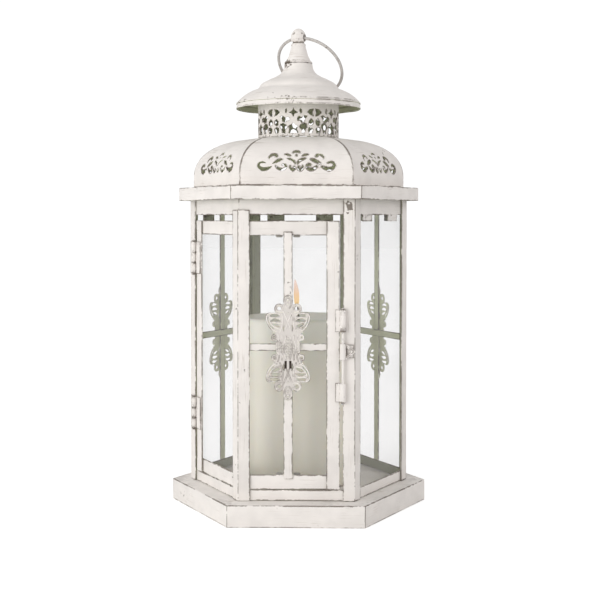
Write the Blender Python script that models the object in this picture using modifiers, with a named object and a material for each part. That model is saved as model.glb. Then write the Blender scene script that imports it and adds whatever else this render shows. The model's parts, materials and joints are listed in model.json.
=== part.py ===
"""Six-sided candle lantern in painted sheet metal, with a two-panel door, latch and ring handle.

Metres, +Z up. The origin is the middle of the underside. The front side faces -Y, a corner
points to +X, and the door turns on the corner that points to -X.
"""

from math import cos, hypot, pi, radians, sin, tan

import bmesh
import bpy
from mathutils import Matrix, Vector

# Clearance and gauges
GAP = 0.0003
SHEET = 0.0008
LEAF = 0.0006
GLASS = 0.002

# Body
BODY_RADIUS = 0.0700
BODY_HEIGHT = 0.1808
POST_FLANGE = 0.0071
SILL_HEIGHT = 0.0068
FRIEZE_DROP = 0.0091
DOOR_TOP_SLOT = 0.0036
DOOR_POST_OVERLAP = 0.0029
PANE_TAB_WIDTH = 0.0120
PANE_TAB_DROP = 0.0040
PANE_TAB_OFFSET = 0.0170
PANE_TAB_WALL = 0.0006

# Plinth
PLINTH_LEDGE = 0.01185
PLINTH_HEIGHT = 0.0132
PLINTH_HEM = 0.0045

# Eave and roof
EAVE_LEDGE = 0.0074
EAVE_HEIGHT = 0.0083
EAVE_LIP = 0.0040
ROOF_INSET = 0.0025
ROOF_UPRIGHT = 0.0062
ROOF_DOME = 0.0250
ROOF_POWER = 2.25
ROOF_UNDER_COLLAR = 0.0021
ROOF_SEGMENTS = 9
SCROLL_HOLES = (
    (0.0195, 0.0155, 0.0080, 0.0042, 2.8),
    (0.0125, 0.0175, 0.0072, 0.0030, 2.3),
    (0.0062, 0.0140, 0.0068, 0.0030, 0.4),
)
CREST_HOLE = (0.0, 0.0212, 0.0050, 0.0034, pi / 2)

# Collar, cap and top fitting
COLLAR_RADIUS = 0.0260
COLLAR_HEIGHT = 0.0187
COLLAR_TURN = -5.0
COLLAR_STAR = ((0, 0.42), (0.07, 0.30), (0.25, 0.25), (0.07, 0.20), (0, 0.08),
               (-0.07, 0.20), (-0.25, 0.25), (-0.07, 0.30))
COLLAR_SPADE = ((0, -0.02), (0.19, -0.18), (0.15, -0.34), (-0.15, -0.34), (-0.19, -0.18))
COLLAR_SIDE_HOLES = (((0.31, 0.11), (0.57, 0.11), (0.44, -0.06)),
                     ((0.38, -0.12), (0.59, -0.26), (0.38, -0.34)))
CAP_RADIUS = 0.0402
CAP_RIM = 0.0043
CAP_HEIGHT = 0.0250
CAP_TOP_RADIUS = 0.0090
CAP_BELL = ((0.0, 1.0), (0.01, 0.92), (0.035, 0.83), (0.09, 0.745), (0.175, 0.675), (0.265, 0.62),
            (0.365, 0.57), (0.45, 0.515), (0.505, 0.45), (0.535, 0.385), (0.575, 0.345),
            (0.64, 0.315), (0.72, 0.27), (0.81, 0.205), (0.885, 0.135), (0.95, 0.06), (1.0, 0.0))
SLEEVE_HEIGHT = 0.0129
SLEEVE_TOP_RADIUS = 0.0046
SLEEVE_FOOT_RADIUS = 0.0078
KNOB_RADIUS = 0.0050
KNOB_HEIGHT = 0.0094
KNOB_SHANK = 0.0020
KNOB_HOLE = 0.0019
KNOB_HOLE_SHARE = 0.34
KNOB_FOOT_RADIUS = 0.0036
NUT_RADIUS = 0.0050
NUT_HEIGHT = 0.0028
RING_RADIUS = 0.0223
RING_WIRE = 0.0010
RING_BEARING = -29.0

# Door
STILE_WIDTH = 0.0078
RAIL_HEIGHT = 0.0087
LATCH_SIDE_GAP = 0.0021
HINGE_SIDE_GAP = 0.0020
STILE_PAST_AXIS = 0.0004
BAR_WIDTH = 0.0053
CROSS_BAR_HEIGHT = 0.0043
BAR_LAP = 0.0022
MID_HEIGHT = 0.0925

# Hinges and latch
HINGE_LENGTH = 0.0205
HINGE_BARREL = 0.0015
HINGE_PIN = 0.0006
HINGE_LEAF_WIDTH = 0.0055
UPPER_HINGE_DROP = 0.0262
LOWER_HINGE_RISE = 0.0345
LATCH_BARREL = 0.0018
LATCH_ROD = 0.0008
LATCH_ROD_HEAD = 0.0013
LATCH_PLATE_WIDTH = 0.0045
UPPER_BRACKET = (0.1020, 0.0132)
LOWER_BRACKET = (0.0600, 0.0114)
HASP = (0.0855, 0.0096)
HASP_REACH = 0.0072
HASP_TIP = 0.0018
KEEPER_SIZE = (0.0040, 0.0080)

# Ornament, candle
ORNAMENT_HEIGHT = 0.0635
ORNAMENT_WIDTH = 0.0270
LACE_EDGE = ((0.46, 0.0), (0.48, 0.10), (0.74, 0.16), (0.74, 0.245), (0.46, 0.30), (0.50, 0.35),
             (0.82, 0.42), (1.0, 0.55), (0.98, 0.68), (0.78, 0.77), (0.48, 0.76), (0.40, 0.81),
             (0.46, 0.90), (0.30, 0.97), (0.12, 0.94), (0.0, 1.0))
LACE_HOLES = ((0.62, 0.58, 0.0085, 0.0044), (0.26, 0.86, 0.0032, 0.0018))
CANDLE_RADIUS = 0.0360
CANDLE_HEIGHT = 0.1060
CANDLE_SHOULDER = 0.0012
WAX_POOL_RADIUS = 0.0126
WAX_POOL_DEPTH = 0.0016
WICK_RADIUS = 0.0007
WICK_HEIGHT = 0.0085
WICK_DEPTH = 0.0080

SIDES = 6
COS30 = cos(pi / SIDES)
TAN30 = tan(pi / SIDES)
ROUND_STEPS = 32
SMALL_STEPS = 14
MERGE = 0.00001
FRONT, FRONT_RIGHT, REAR_RIGHT, REAR, REAR_LEFT, FRONT_LEFT = 4, 5, 0, 1, 2, 3
FACE_NAMES = {
    FRONT: "front",
    FRONT_RIGHT: "front_right",
    REAR_RIGHT: "rear_right",
    REAR: "rear",
    REAR_LEFT: "rear_left",
    FRONT_LEFT: "front_left",
}
FIXED_CORNERS = {0: "right", 1: "rear_right", 2: "rear_left", 3: "left", 5: "front_right"}
DOOR_CORNER = 4
BARRED_FACES = (REAR_RIGHT, REAR_LEFT)
GLAZED_FIXED_FACES = (FRONT_RIGHT, REAR_RIGHT, REAR, REAR_LEFT)

# Heights
FLOOR = PLINTH_HEIGHT
SILL_TOP = FLOOR + SILL_HEIGHT
EAVE_BOTTOM = FLOOR + BODY_HEIGHT
EAVE_TOP = EAVE_BOTTOM + EAVE_HEIGHT
FRIEZE_BOTTOM = EAVE_BOTTOM - FRIEZE_DROP
POST_TOP = EAVE_TOP - SHEET - GAP
DOOR_BOTTOM = SILL_TOP + GAP
DOOR_TOP = FRIEZE_BOTTOM - DOOR_TOP_SLOT
MID_Z = FLOOR + MID_HEIGHT
ROOF_TOP = EAVE_TOP + GAP + ROOF_UPRIGHT + ROOF_DOME
COLLAR_BOTTOM = ROOF_TOP + GAP
CAP_BOTTOM = COLLAR_BOTTOM + COLLAR_HEIGHT
CAP_SHOULDER = CAP_BOTTOM + CAP_RIM
CAP_TOP = CAP_SHOULDER + CAP_HEIGHT
SLEEVE_BOTTOM = CAP_TOP + GAP
SLEEVE_TOP = SLEEVE_BOTTOM + SLEEVE_HEIGHT
KNOB_BOTTOM = SLEEVE_TOP + GAP
KNOB_MID = KNOB_BOTTOM + KNOB_HEIGHT * KNOB_HOLE_SHARE

# Layers of a side, as distances from the lantern's axis
HALF_SIDE = BODY_RADIUS / 2
POST_OUT = BODY_RADIUS * COS30
POST_IN = POST_OUT - SHEET
BAND_OUT = POST_IN - GAP
BAND_IN = BAND_OUT - SHEET
GLASS_OUT = BAND_IN - GAP
GLASS_IN = GLASS_OUT - GLASS
FITTING_IN = POST_OUT + GAP
FITTING_OUT = FITTING_IN + LEAF
GLASS_EDGE = GLASS_IN * TAN30 - GAP
FLANGE_END = HALF_SIDE - POST_FLANGE

# Hinge and latch axes on their sides
HINGE_U = -FLANGE_END + HINGE_SIDE_GAP
HINGE_W = FITTING_IN + HINGE_BARREL
LATCH_STILE_END = FLANGE_END - LATCH_SIDE_GAP
LATCH_U = FLANGE_END - GAP / 2
LATCH_W = FITTING_IN + LATCH_BARREL


def fresh_scene():
    for item in list(bpy.data.objects):
        bpy.data.objects.remove(item)
    made = []
    for name in ("candle_lantern", "cutters"):
        group = bpy.data.collections.new(name)
        bpy.context.scene.collection.children.link(group)
        made.append(group)
    return made


PARTS, CUTTERS = fresh_scene()


def material(name, colour, rough, metal=0.0, through=0.0):
    made = bpy.data.materials.new(name)
    made.use_nodes = True
    shader = made.node_tree.nodes["Principled BSDF"]
    shader.inputs["Base Color"].default_value = (*colour, 1.0)
    shader.inputs["Roughness"].default_value = rough
    shader.inputs["Metallic"].default_value = metal
    shader.inputs["Transmission Weight"].default_value = through
    made.diffuse_color = (*colour, 1.0)
    return made


PAINT = (0.80, 0.78, 0.74)


def painted(name):
    """White paint over sheet steel, one material for each piece."""
    return material(name + "_paint", PAINT, 0.55)


def placed(item, name, finish, parent=None):
    """Names an object, files it under the lantern and hangs it on a joint's empty."""
    item.name = name
    for group in list(item.users_collection):
        group.objects.unlink(item)
    PARTS.objects.link(item)
    item.data.materials.append(finish)
    if parent:
        item.parent = parent
        item.matrix_parent_inverse = parent.matrix_world.inverted()
    return item


def as_cutter(item, name):
    for group in list(item.users_collection):
        group.objects.unlink(item)
    CUTTERS.objects.link(item)
    item.name = name
    item.hide_render = True
    item.display_type = "WIRE"
    return item


def side_frame(face):
    """One side of the hexagon: x along it to the right, y up, z outwards."""
    turn = radians(60 * face + 30)
    out = Vector((cos(turn), sin(turn), 0))
    along = Vector((-sin(turn), cos(turn), 0))
    return Matrix((along, Vector((0, 0, 1)), out)).transposed().to_4x4()


def on_side(face, u, w):
    """The plan position of a point u along a side and w out from the lantern's axis."""
    spot = side_frame(face) @ Vector((u, 0, w))
    return spot.x, spot.y


def flat(outlines, thickness, frame):
    """A flat sheet of this thickness, cut to its outlines, in the middle of its frame."""
    data = bpy.data.curves.new("outline", "CURVE")
    data.dimensions = "2D"
    data.fill_mode = "BOTH"
    data.extrude = thickness / 2
    for outline in outlines:
        line = data.splines.new("POLY")
        line.points.add(len(outline) - 1)
        for point, (x, y) in zip(line.points, outline):
            point.co = (x, y, 0, 1)
        line.use_cyclic_u = True
    item = bpy.data.objects.new("flat", data)
    PARTS.objects.link(item)
    item.matrix_world = frame
    return item


def meshed(item):
    """The same object as a mesh, welded, in place of its curve."""
    bpy.context.view_layer.update()
    ready = item.evaluated_get(bpy.context.evaluated_depsgraph_get())
    data = bpy.data.meshes.new_from_object(ready)
    work = bmesh.new()
    work.from_mesh(data)
    bmesh.ops.remove_doubles(work, verts=work.verts, dist=MERGE)
    work.to_mesh(data)
    work.free()
    made = bpy.data.objects.new("meshed", data)
    made.matrix_world = item.matrix_world.copy()
    bpy.data.objects.remove(item)
    PARTS.objects.link(made)
    return made


def on_face(face, outlines, inner, outer):
    """A sheet on one side of the lantern, between two distances from its axis."""
    frame = side_frame(face) @ Matrix.Translation((0, 0, (inner + outer) / 2))
    return flat(outlines, outer - inner, frame)


def rectangle(u0, u1, z0, z1):
    return [(u0, z0), (u1, z0), (u1, z1), (u0, z1)]


def strip(name, face, span, heights, layer, parent=None):
    """A plain rectangular strip or pane on one side."""
    item = on_face(face, [rectangle(*span, *heights)], *layer)
    return placed(item, name, painted(name), parent)


def turned(profile, steps=ROUND_STEPS, closed=False, smooth=True):
    """A profile of (radius, height), top to bottom on its outer side, turned about Z."""
    data = bpy.data.meshes.new("profile")
    edges = [(i, i + 1) for i in range(len(profile) - 1)]
    if closed:
        edges.append((len(profile) - 1, 0))
    data.from_pydata([(r, 0, z) for r, z in profile], edges, [])
    item = bpy.data.objects.new("turned", data)
    PARTS.objects.link(item)
    screw = item.modifiers.new("turn", "SCREW")
    screw.steps = screw.render_steps = steps
    screw.use_merge_vertices = True
    screw.merge_threshold = MERGE
    screw.use_smooth_shade = smooth
    return item


def walled(item, thickness):
    """Gives an open turned surface its wall, on the inner side."""
    wall = item.modifiers.new("wall", "SOLIDIFY")
    wall.thickness = thickness
    wall.offset = -1
    wall.use_even_offset = True
    return item


def cylinder(radius, z0, z1, x=0.0, y=0.0, steps=SMALL_STEPS):
    """An upright cylinder between two heights."""
    data = bpy.data.meshes.new("cylinder")
    work = bmesh.new()
    bmesh.ops.create_cone(work, cap_ends=True, segments=steps, radius1=radius, radius2=radius,
                          depth=z1 - z0)
    work.to_mesh(data)
    work.free()
    item = bpy.data.objects.new("cylinder", data)
    PARTS.objects.link(item)
    item.location = (x, y, (z0 + z1) / 2)
    return item


def boolean(item, other, name, operation):
    cut = item.modifiers.new(name, "BOOLEAN")
    cut.operation = operation
    cut.object = as_cutter(other, name)
    return item


def hexagon_ring(outer, wall, z0, z1):
    """The closed section of an upright six-sided band, outer being its corner radius."""
    inner = outer - wall / COS30
    return [(outer, z1), (outer, z0), (inner, z0), (inner, z1)]


def make_plinth():
    outer = BODY_RADIUS + PLINTH_LEDGE
    inner = outer - SHEET / COS30
    profile = [
        (0, FLOOR), (outer, FLOOR), (outer, 0), (outer - PLINTH_HEM, 0),
        (outer - PLINTH_HEM, SHEET), (inner, SHEET), (inner, FLOOR - SHEET), (0, FLOOR - SHEET),
    ]
    placed(turned(profile, SIDES, smooth=False), "plinth", painted("plinth"))


def make_sill():
    ring = hexagon_ring(BAND_OUT / COS30, SHEET, FLOOR + GAP, SILL_TOP)
    placed(turned(ring, SIDES, closed=True, smooth=False), "sill_band", painted("sill_band"))


def make_frieze():
    """The band over the panes, with two bent-down tabs to each fixed pane."""
    ring = hexagon_ring(BAND_OUT / COS30, SHEET, FRIEZE_BOTTOM, POST_TOP)
    band = turned(ring, SIDES, closed=True, smooth=False)
    middle = (BAND_OUT + BAND_IN) / 2
    for face in GLAZED_FIXED_FACES:
        for side in (-1, 1):
            centre = side * PANE_TAB_OFFSET
            outline = rectangle(centre - PANE_TAB_WIDTH / 2, centre + PANE_TAB_WIDTH / 2,
                                FRIEZE_BOTTOM - PANE_TAB_DROP, FRIEZE_BOTTOM + SHEET)
            layer = (middle - PANE_TAB_WALL / 2, middle + PANE_TAB_WALL / 2)
            tab = meshed(on_face(face, [outline], *layer))
            boolean(band, tab, "frieze_tab", "UNION")
    placed(band, "frieze_band", painted("frieze_band"))


def post_outline(corner):
    """Plan of an angle post: two flanges that meet at a corner of the hexagon."""
    before, after = side_frame(corner - 1), side_frame(corner)
    flange_start = -HALF_SIDE + POST_FLANGE
    ends = [
        before @ Vector((-flange_start, 0, POST_OUT)),
        before @ Vector((HALF_SIDE, 0, POST_OUT)),
        after @ Vector((flange_start, 0, POST_OUT)),
        after @ Vector((flange_start, 0, POST_IN)),
        before @ Vector((POST_IN * TAN30, 0, POST_IN)),
        before @ Vector((-flange_start, 0, POST_IN)),
    ]
    return [(spot.x, spot.y) for spot in ends]


def upright(outline, z0, z1):
    return flat([outline], z1 - z0, Matrix.Translation((0, 0, (z0 + z1) / 2)))


def make_posts(door):
    for corner, name in FIXED_CORNERS.items():
        post = upright(post_outline(corner), FLOOR + GAP, POST_TOP)
        placed(post, "post_" + name, painted("post_" + name))
    post = upright(post_outline(DOOR_CORNER), FLOOR + GAP, FRIEZE_BOTTOM + DOOR_POST_OVERLAP)
    placed(post, "door_corner_post", painted("door_corner_post"), door)


def make_eave():
    outer = BODY_RADIUS + EAVE_LEDGE
    inner = outer - SHEET / COS30
    opening = BODY_RADIUS - ROOF_INSET - EAVE_LIP
    profile = [
        (opening, EAVE_TOP), (outer, EAVE_TOP), (outer, EAVE_BOTTOM), (inner, EAVE_BOTTOM),
        (inner, EAVE_TOP - SHEET), (opening, EAVE_TOP - SHEET),
    ]
    placed(turned(profile, SIDES, closed=True, smooth=False), "eave_band", painted("eave_band"))


def roof_line(inset):
    """The roof's section in a corner's plane, from its foot up; inset is in from the outside."""
    foot = BODY_RADIUS - ROOF_INSET
    crown = COLLAR_RADIUS - ROOF_UNDER_COLLAR
    rise = EAVE_TOP + GAP + ROOF_UPRIGHT
    line = [(foot - inset, EAVE_TOP + GAP)]
    for step in range(ROOF_SEGMENTS + 1):
        t = pi / 2 * step / ROOF_SEGMENTS
        across = max(cos(t), 0.0) ** (2 / ROOF_POWER)
        up = sin(t) ** (2 / ROOF_POWER)
        line.append((crown + (foot - crown - inset) * across, rise + (ROOF_DOME - inset) * up))
    return line


def teardrop(x, y, length, width, turn):
    """A leaf-shaped hole, round at one end and pointed at the other."""
    outline = []
    for step in range(8):
        t = 2 * pi * step / 8
        a, b = length / 2 * cos(t), width / 2 * sin(t) * sin(t / 2)
        outline.append((x + a * cos(turn) - b * sin(turn), y + a * sin(turn) + b * cos(turn)))
    return outline


def make_petals():
    """Six domed sheets with seams at the corners, each pierced with a row of scrolls."""
    section = roof_line(0.0) + roof_line(SHEET)[::-1]
    for face, side in FACE_NAMES.items():
        work = bmesh.new()
        first = Matrix.Rotation(radians(60 * face), 4, "Z")
        ring = [work.verts.new(first @ Vector((r, 0, z))) for r, z in section]
        end = work.faces.new(ring)
        bmesh.ops.spin(work, geom=[end], angle=radians(60), steps=1, axis=(0, 0, 1),
                       cent=(0, 0, 0), use_normal_flip=False)
        out = side_frame(face).to_3x3() @ Vector((0, 0, GAP))
        bmesh.ops.translate(work, verts=work.verts, vec=out)
        bmesh.ops.recalc_face_normals(work, faces=work.faces)
        data = bpy.data.meshes.new("petal")
        work.to_mesh(data)
        work.free()
        petal = bpy.data.objects.new("petal", data)
        outlines = []
        for x, y, length, width, turn in (CREST_HOLE, *SCROLL_HOLES):
            for hand in (-1, 1) if x else (1,):
                lean = turn if hand > 0 else pi - turn
                outlines.append(teardrop(hand * x, EAVE_TOP + y, length, width, lean))
        cutter = meshed(on_face(face, outlines, COLLAR_RADIUS, BODY_RADIUS))
        boolean(petal, cutter, "scroll_cutter", "DIFFERENCE")
        name = "roof_petal_" + side
        placed(petal, name, painted(name))


def cap_line():
    """The cap's outer section, from its bore out and down to the rim."""
    low, span = CAP_SHOULDER, CAP_TOP - CAP_SHOULDER
    reach = CAP_RADIUS - CAP_TOP_RADIUS
    bell = [(CAP_TOP_RADIUS + reach * a, low + span * b) for a, b in CAP_BELL]
    return [(KNOB_SHANK + GAP, CAP_TOP), *bell, (CAP_RADIUS, CAP_BOTTOM)]


def cap_underside(radius):
    """Height of the cap's inner wall over this radius."""
    line = cap_line()
    for (r0, z0), (r1, z1) in zip(line, line[1:]):
        if r0 <= radius <= r1:
            share = (radius - r0) / (r1 - r0)
            return z0 + (z1 - z0) * share - SHEET * hypot(1, (z1 - z0) / (r1 - r0))
    raise ValueError("the collar is wider than the cap")


def make_collar():
    """A pierced tube between the roof and the cap, with six repeats of one pattern."""
    top = cap_underside(COLLAR_RADIUS) - GAP
    tube = walled(turned([(COLLAR_RADIUS, top), (COLLAR_RADIUS, COLLAR_BOTTOM)], 36), SHEET)
    mid = COLLAR_BOTTOM + COLLAR_HEIGHT / 2
    shapes = [COLLAR_STAR, COLLAR_SPADE]
    for shape in COLLAR_SIDE_HOLES:
        shapes += [shape, [(-x, y) for x, y in shape[::-1]]]
    half_repeat = pi * COLLAR_RADIUS / SIDES
    holes = [[(x * half_repeat, y * COLLAR_HEIGHT) for x, y in shape] for shape in shapes]
    turn = Matrix.Rotation(radians(COLLAR_TURN), 4, "Z")
    for repeat in range(SIDES):
        frame = turn @ side_frame(repeat) @ Matrix.Translation((0, mid, COLLAR_RADIUS))
        cutter = meshed(flat(holes, COLLAR_RADIUS / 2, frame))
        boolean(tube, cutter, "collar_cutter", "DIFFERENCE")
    placed(tube, "collar", painted("collar"))


def make_cap():
    placed(walled(turned(cap_line()), SHEET), "cap", painted("cap"))


def make_top_fitting():
    """A sleeve on the cap and a knob whose shank goes down through both, held by a nut."""
    bore = KNOB_SHANK + GAP
    sleeve = [(bore, SLEEVE_TOP), (SLEEVE_TOP_RADIUS, SLEEVE_TOP),
              (SLEEVE_FOOT_RADIUS, SLEEVE_BOTTOM + 2 * SHEET),
              (CAP_TOP_RADIUS, SLEEVE_BOTTOM + SHEET), (CAP_TOP_RADIUS, SLEEVE_BOTTOM),
              (bore, SLEEVE_BOTTOM)]
    placed(turned(sleeve, 24, closed=True), "neck_sleeve", painted("neck_sleeve"))
    nut_top = CAP_TOP - SHEET - GAP
    shank_end = nut_top - NUT_HEIGHT - SHEET
    ball = []
    quarter_steps = 6
    for step in range(quarter_steps + 1):
        t = pi / 2 * step / quarter_steps
        ball.append((KNOB_RADIUS * sin(t), KNOB_MID + (KNOB_BOTTOM + KNOB_HEIGHT - KNOB_MID) * cos(t)))
    ball += [(KNOB_RADIUS - GAP, (KNOB_MID + KNOB_BOTTOM) / 2), (KNOB_FOOT_RADIUS, KNOB_BOTTOM),
             (KNOB_SHANK, KNOB_BOTTOM), (KNOB_SHANK, shank_end), (0, shank_end)]
    knob = turned(ball, 24)
    hole = cylinder_across(KNOB_HOLE, KNOB_RADIUS * 3)
    boolean(knob, hole, "ring_hole", "DIFFERENCE")
    placed(knob, "knob", painted("knob"))
    tapped = bore / COS30
    nut = turned([(tapped, nut_top), (NUT_RADIUS, nut_top), (NUT_RADIUS, nut_top - NUT_HEIGHT),
                  (tapped, nut_top - NUT_HEIGHT)], SIDES, closed=True, smooth=False)
    placed(nut, "finial_nut", material("nut_steel", (0.42, 0.41, 0.38), 0.4, 1.0))


def ring_axes():
    """The ring's hinge line and the level direction in which it leans back."""
    bearing = radians(RING_BEARING)
    return Vector((cos(bearing), sin(bearing), 0)), Vector((-sin(bearing), cos(bearing), 0))


def cylinder_across(radius, length):
    """A cylinder along the ring's hinge line, through the knob."""
    item = cylinder(radius, -length / 2, length / 2, steps=16)
    line, _ = ring_axes()
    turn = line.to_track_quat("Z", "Y").to_matrix().to_4x4()
    item.matrix_world = Matrix.Translation((0, 0, KNOB_MID)) @ turn
    return item


def ring_lean():
    """The angle from straight down at which the ring comes to rest on the cap."""
    surface = cap_line()
    for degree in range(20, 90):
        lean = radians(degree)
        nearest = min(
            clearance(ring_point(2 * pi * step / 48, lean), surface) for step in range(48)
        )
        if nearest >= RING_WIRE + GAP:
            return lean
    raise ValueError("the ring finds no rest on the cap")


def ring_point(turn, lean):
    """Radius and height of a point on the ring's centre line."""
    line, back = ring_axes()
    down = back * sin(lean) + Vector((0, 0, -cos(lean)))
    spot = line * RING_RADIUS * sin(turn) + down * RING_RADIUS * (1 - cos(turn))
    return hypot(spot.x, spot.y), KNOB_MID + spot.z


def clearance(spot, surface):
    """How far a point (radius, height) lies above the cap's section, negative inside it."""
    radius, height = spot
    best = 1.0
    for (r0, z0), (r1, z1) in zip(surface, surface[1:]):
        run, rise = r1 - r0, z1 - z0
        share = ((radius - r0) * run + (height - z0) * rise) / (run**2 + rise**2)
        share = min(max(share, 0.0), 1.0)
        across, up = radius - r0 - run * share, height - z0 - rise * share
        best = min(best, hypot(across, up) if across * -rise + up * run > 0 else -hypot(across, up),
                   key=abs)
    return best


def make_ring(swing):
    line, back = ring_axes()
    lean = ring_lean()
    down = back * sin(lean) + Vector((0, 0, -cos(lean)))
    bpy.ops.mesh.primitive_torus_add(major_segments=48, minor_segments=8,
                                     major_radius=RING_RADIUS, minor_radius=RING_WIRE)
    ring = bpy.context.object
    frame = Matrix((line, down, line.cross(down))).transposed().to_4x4()
    middle = Vector((0, 0, KNOB_MID)) + down * RING_RADIUS
    ring.matrix_world = Matrix.Translation(middle) @ frame
    placed(ring, "ring_handle", painted("ring_handle"), swing)


def make_glass(door):
    clear = {"colour": (0.94, 0.94, 0.95), "rough": 0.03, "through": 1.0}
    for face in GLAZED_FIXED_FACES:
        name = "glass_" + FACE_NAMES[face]
        pane = on_face(face, [rectangle(-GLASS_EDGE, GLASS_EDGE, FLOOR + GAP, POST_TOP - SILL_HEIGHT)],
                       GLASS_IN, GLASS_OUT)
        placed(pane, name, material(name, **clear))
    inside = GAP * 2
    spans = {
        FRONT: (-GLASS_EDGE, LATCH_STILE_END - inside),
        FRONT_LEFT: (HINGE_U + STILE_PAST_AXIS + inside, GLASS_EDGE),
    }
    for face, (u0, u1) in spans.items():
        name = "door_glass_" + FACE_NAMES[face]
        pane = on_face(face, [rectangle(u0, u1, DOOR_BOTTOM + inside, DOOR_TOP - inside)],
                       GLASS_IN, GLASS_OUT)
        placed(pane, name, material(name, **clear), door)


def make_ornament(name, face, centre_u, parent=None):
    """A pierced sheet ornament, the same above and below and left and right."""
    half_width, half_height = ORNAMENT_WIDTH / 2, ORNAMENT_HEIGHT / 2
    quarter = [(x * half_width, y * half_height) for x, y in LACE_EDGE]
    right = quarter[::-1] + [(x, -y) for x, y in quarter[1:]]
    edge = right + [(-x, y) for x, y in right[-2:0:-1]]
    outlines = [[(centre_u + x, MID_Z + y) for x, y in edge]]
    for side in (-1, 1):
        for end in (-1, 1):
            for x, y, length, width in LACE_HOLES:
                outlines.append(teardrop(centre_u + side * x * half_width,
                                         MID_Z + end * y * half_height, length, width,
                                         pi / 2 * end))
    item = on_face(face, outlines, FITTING_IN, FITTING_OUT)
    placed(item, name, painted(name), parent)


def make_bars(door):
    """The upright and cross bar over every second pane, with the ornament on them."""
    half = BAR_WIDTH / 2
    cross = (MID_Z - CROSS_BAR_HEIGHT / 2, MID_Z + CROSS_BAR_HEIGHT / 2)
    post, band = (POST_IN, POST_OUT), (BAND_IN, BAND_OUT)
    lapped = FLANGE_END + BAR_LAP
    for face in BARRED_FACES:
        side = FACE_NAMES[face]
        strip("upright_bar_" + side, face, (-half, half),
              (SILL_TOP - BAR_LAP, FRIEZE_BOTTOM + BAR_LAP), post)
        strip("cross_bar_" + side, face, (-lapped, lapped), cross, band)
        make_ornament("ornament_" + side, face, 0.0)
    stile = LATCH_STILE_END - STILE_WIDTH
    middle = (stile - FLANGE_END) / 2
    strip("door_upright_bar", FRONT, (middle - half, middle + half),
          (DOOR_BOTTOM + RAIL_HEIGHT - BAR_LAP, DOOR_TOP - RAIL_HEIGHT + BAR_LAP), post, door)
    strip("door_cross_bar", FRONT, (-lapped, stile + BAR_LAP), cross, band, door)
    make_ornament("door_ornament", FRONT, middle, door)


def make_door_frame(door):
    """Rails and stiles of the two panels that turn as one."""
    post, band = (POST_IN, POST_OUT), (BAND_IN, BAND_OUT)
    mitre = BAND_IN * TAN30 - GAP
    hinge_edge = HINGE_U + STILE_PAST_AXIS
    heights = {"top": (DOOR_TOP - RAIL_HEIGHT, DOOR_TOP),
               "bottom": (DOOR_BOTTOM, DOOR_BOTTOM + RAIL_HEIGHT)}
    for level, span in heights.items():
        strip("door_front_%s_rail" % level, FRONT, (-mitre, LATCH_STILE_END), span, band, door)
        strip("door_side_%s_rail" % level, FRONT_LEFT, (hinge_edge, mitre), span, band, door)
    full = (DOOR_BOTTOM, DOOR_TOP)
    strip("door_latch_stile", FRONT, (LATCH_STILE_END - STILE_WIDTH, LATCH_STILE_END), full, post, door)
    strip("door_hinge_stile", FRONT_LEFT, (hinge_edge, hinge_edge + STILE_WIDTH), full, post, door)


def leaf(face, outline, axis_u, axis_w, barrel, bore, spans):
    """A flat leaf with rolled knuckles at these heights, bored for its pin."""
    plate = meshed(on_face(face, [outline], FITTING_IN, FITTING_OUT))
    x, y = on_side(face, axis_u, axis_w)
    for z0, z1 in spans:
        boolean(plate, cylinder(barrel, z0, z1, x, y), "knuckle", "UNION")
    ends = [z for span in spans for z in span]
    boolean(plate, cylinder(bore, min(ends) - SHEET, max(ends) + SHEET, x, y), "bore", "DIFFERENCE")
    return plate


def pinned(face, axis_u, axis_w, radius, head, z0, z1):
    """A pin with a round head outside each end knuckle."""
    x, y = on_side(face, axis_u, axis_w)
    profile = [(0, z1 + head), (head, z1 + head / 2), (head, z1 + GAP), (radius, z1 + GAP),
               (radius, z0 - GAP), (head, z0 - GAP), (head, z0 - head / 2), (0, z0 - head)]
    pin = turned(profile, SMALL_STEPS)
    pin.location = (x, y, 0)
    return pin


def make_hinges(door):
    bore = HINGE_PIN + GAP
    near = HINGE_BARREL + GAP
    spots = {"upper": EAVE_BOTTOM - UPPER_HINGE_DROP - HINGE_LENGTH, "lower": FLOOR + LOWER_HINGE_RISE}
    for level, z0 in spots.items():
        z1 = z0 + HINGE_LENGTH
        low, high = z0 + HINGE_LENGTH / 3, z1 - HINGE_LENGTH / 3
        fixed_far, fixed_near = HINGE_U - near - HINGE_LEAF_WIDTH, HINGE_U - near
        fixed = [(fixed_far, z0), (HINGE_U, z0), (HINGE_U, low), (fixed_near, low),
                 (fixed_near, high), (HINGE_U, high), (HINGE_U, z1), (fixed_far, z1)]
        item = leaf(FRONT_LEFT, fixed, HINGE_U, HINGE_W, HINGE_BARREL, bore, [(z0, low), (high, z1)])
        name = level + "_hinge_fixed_leaf"
        placed(item, name, painted(name))
        far, edge = HINGE_U + near + HINGE_LEAF_WIDTH, HINGE_U + near
        moving = [(far, z0), (far, z1), (edge, z1), (edge, high - GAP), (HINGE_U, high - GAP),
                  (HINGE_U, low + GAP), (edge, low + GAP), (edge, z0)]
        item = leaf(FRONT_LEFT, moving, HINGE_U, HINGE_W, HINGE_BARREL, bore,
                    [(low + GAP, high - GAP)])
        name = level + "_hinge_door_leaf"
        placed(item, name, painted(name), door)
        name = level + "_hinge_pin"
        pin = pinned(FRONT_LEFT, HINGE_U, HINGE_W, HINGE_PIN, HINGE_BARREL - GAP, z0, z1)
        placed(pin, name, painted(name))


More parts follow.
